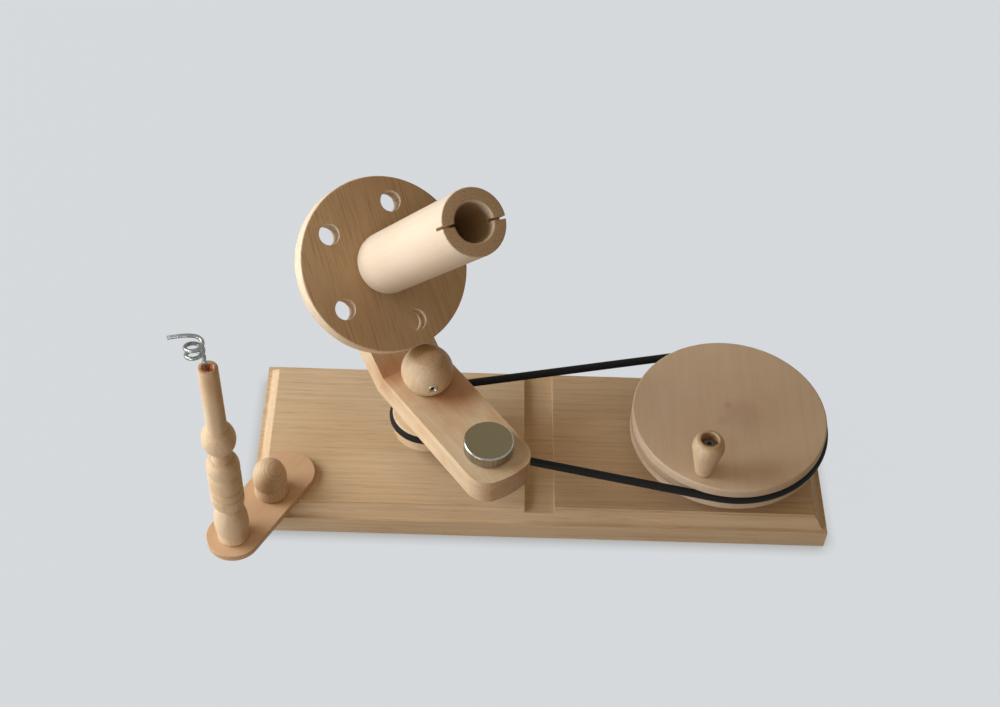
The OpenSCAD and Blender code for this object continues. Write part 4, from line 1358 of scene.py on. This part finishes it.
@dataclass
class Studio:
    """Pale floor, soft light and the camera of the photograph."""

    width_px: float = 1000.0
    height_px: float = 707.0
    focal_px: float = 1593.0
    centre_px: tuple[float, float] = (476.5, 436.0)
    sensor_mm: float = 36.0
    eye: tuple[float, float, float] = (-0.0629, -0.8096, 1.0182)
    look: tuple[float, float, float] = (0.0099, 0.6332, -0.7739)
    up: tuple[float, float, float] = (-0.0298, 0.7738, 0.6327)
    backdrop: str = "d5d9dd"
    floor_glow: str = "dadee2"
    # Painted contact shadow: near the object the floor's glow darkens towards this colour, within
    # this reach, fully at this share of the occlusion, which takes these samples.
    painted_shadow: str = "a5a29d"
    painted_shadow_reach: float = 12 * MM
    painted_shadow_full: float = 0.35
    painted_shadow_samples: int = 8
    floor_paint: str = "9c805e"
    floor_roughness: float = 0.6
    floor_show: float = 0.94
    fill_low: tuple[float, float, float, float] = (0.08, 0.054, 0.028, 1.0)
    fill_high: tuple[float, float, float, float] = (0.33, 0.215, 0.11, 1.0)
    floor_size: float = 12.0
    nearest: float = 0.05
    farthest: float = 50.0
    lamps: tuple[Lamp, ...] = (
        Lamp("window_light", toward=(-0.90, 0.07, 0.41), level=0.95, size=1.4),
        Lamp("front_light", toward=(-0.68, -0.73, 0.06), level=0.5, size=1.0),
    )

    def build_camera(self) -> None:
        """Places the camera from its measured place, direction and focal length."""
        data = bpy.data.cameras.new("camera")
        data.sensor_width = self.sensor_mm
        data.lens = self.sensor_mm * self.focal_px / self.width_px
        data.shift_x = 0.5 - self.centre_px[0] / self.width_px
        data.shift_y = (self.centre_px[1] - self.height_px / 2) / self.width_px
        data.clip_start = self.nearest
        data.clip_end = self.farthest
        camera = bpy.data.objects.new("camera", data)
        bpy.context.scene.collection.objects.link(camera)
        ahead = Vector(self.look).normalized()
        right = ahead.cross(Vector(self.up)).normalized()
        upward = right.cross(ahead)
        turn = Matrix((right, upward, -ahead)).transposed()
        camera.matrix_world = Matrix.Translation(self.eye) @ turn.to_4x4()
        bpy.context.scene.camera = camera

    def seen(self, tree: bpy.types.NodeTree) -> Socket:
        """Adds a share that is one on camera, glossy and transmission rays."""
        path = add_node(tree, "ShaderNodeLightPath")
        pair = add_node(
            tree,
            "ShaderNodeMath",
            {"operation": "MAXIMUM"},
            {0: path.outputs["Is Camera Ray"], 1: path.outputs["Is Glossy Ray"]},
        )
        return add_node(
            tree,
            "ShaderNodeMath",
            {"operation": "MAXIMUM"},
            {0: pair.outputs[0], 1: path.outputs["Is Transmission Ray"]},
        ).outputs[0]

    def build_floor(self) -> None:
        """Lays a floor that shows the backdrop's colour with a painted contact shadow round the
        object, and keeps a little of the object's rendered shadow.
        """
        bpy.ops.mesh.primitive_plane_add(size=self.floor_size, location=(0, 0, 0))
        floor = bpy.context.object
        floor.name = "floor"
        material = bpy.data.materials.new("pale_floor")
        material.use_nodes = True
        tree = material.node_tree
        tree.nodes.clear()
        paint = add_node(
            tree,
            "ShaderNodeBsdfDiffuse",
            {"Color": linear(self.floor_paint), "Roughness": self.floor_roughness},
        )
        # Painted contact shadow: ambient occlusion darkens the glow where the object is near.
        near = add_node(
            tree,
            "ShaderNodeAmbientOcclusion",
            {"samples": self.painted_shadow_samples, "Distance": self.painted_shadow_reach},
        ).outputs["AO"]
        shade = set_ramp(
            add_node(tree, "ShaderNodeValToRGB", links={"Fac": near}),
            [(self.painted_shadow_full, linear(self.painted_shadow)), (1.0, linear(self.floor_glow))],
        ).outputs["Color"]
        glow = add_node(tree, "ShaderNodeEmission", {"Strength": 1.0}, {"Color": shade})
        share = add_node(
            tree,
            "ShaderNodeMath",
            {"operation": "MULTIPLY", 1: self.floor_show},
            {0: self.seen(tree)},
        ).outputs[0]
        mixed = add_node(
            tree,
            "ShaderNodeMixShader",
            links={0: share, 1: paint.outputs["BSDF"], 2: glow.outputs["Emission"]},
        )
        add_node(tree, "ShaderNodeOutputMaterial", links={"Surface": mixed.outputs[0]})
        floor.data.materials.append(material)

    def build_world(self) -> None:
        """Lights the scene softly from above and shows the backdrop where it is seen."""
        world = bpy.data.worlds.new("studio_world")
        bpy.context.scene.world = world
        world.use_nodes = True
        tree = world.node_tree
        tree.nodes.clear()
        toward = add_node(tree, "ShaderNodeTexCoord").outputs["Generated"]
        height = add_node(tree, "ShaderNodeSeparateXYZ", links={"Vector": toward}).outputs["Z"]
        sky = add_node(
            tree,
            "ShaderNodeMix",
            {"data_type": "RGBA", MIX_UNDER: self.fill_low, MIX_OVER: self.fill_high},
            {0: height},
        ).outputs[MIX_RESULT]
        fill = add_node(tree, "ShaderNodeBackground", {"Strength": 1.0}, {"Color": sky})
        shown = add_node(
            tree, "ShaderNodeBackground", {"Color": linear(self.backdrop), "Strength": 1.0}
        )
        mixed = add_node(
            tree,
            "ShaderNodeMixShader",
            links={0: self.seen(tree), 1: fill.outputs[0], 2: shown.outputs[0]},
        )
        add_node(tree, "ShaderNodeOutputWorld", links={"Surface": mixed.outputs[0]})

    def build(self) -> None:
        """Sets the view transform and builds camera, floor and lights."""
        bpy.context.scene.view_settings.view_transform = "Standard"
        self.build_camera()
        self.build_floor()
        self.build_world()
        for lamp in self.lamps:
            lamp.build(middle("drive_belt"))


@dataclass
class BallWinder:
    """The whole machine, built in the order in which it goes together."""

    sub_assemblies: list[SubAssembly] = field(
        default_factory=lambda: [BaseBoard(), CrankWheel(), Rotor(), Spindle(), YarnGuide()]
    )

    def build(self) -> None:
        """Builds every sub-assembly."""
        for part in self.sub_assemblies:
            LOG.info("building %s", type(part).__name__)
            part.build()


def main() -> None:
    """Builds the studio and the object."""
    logging.basicConfig(level=logging.INFO, format="%(name)s: %(message)s")
    Studio().build()
    BallWinder().build()


if __name__ == "__main__":
    main()
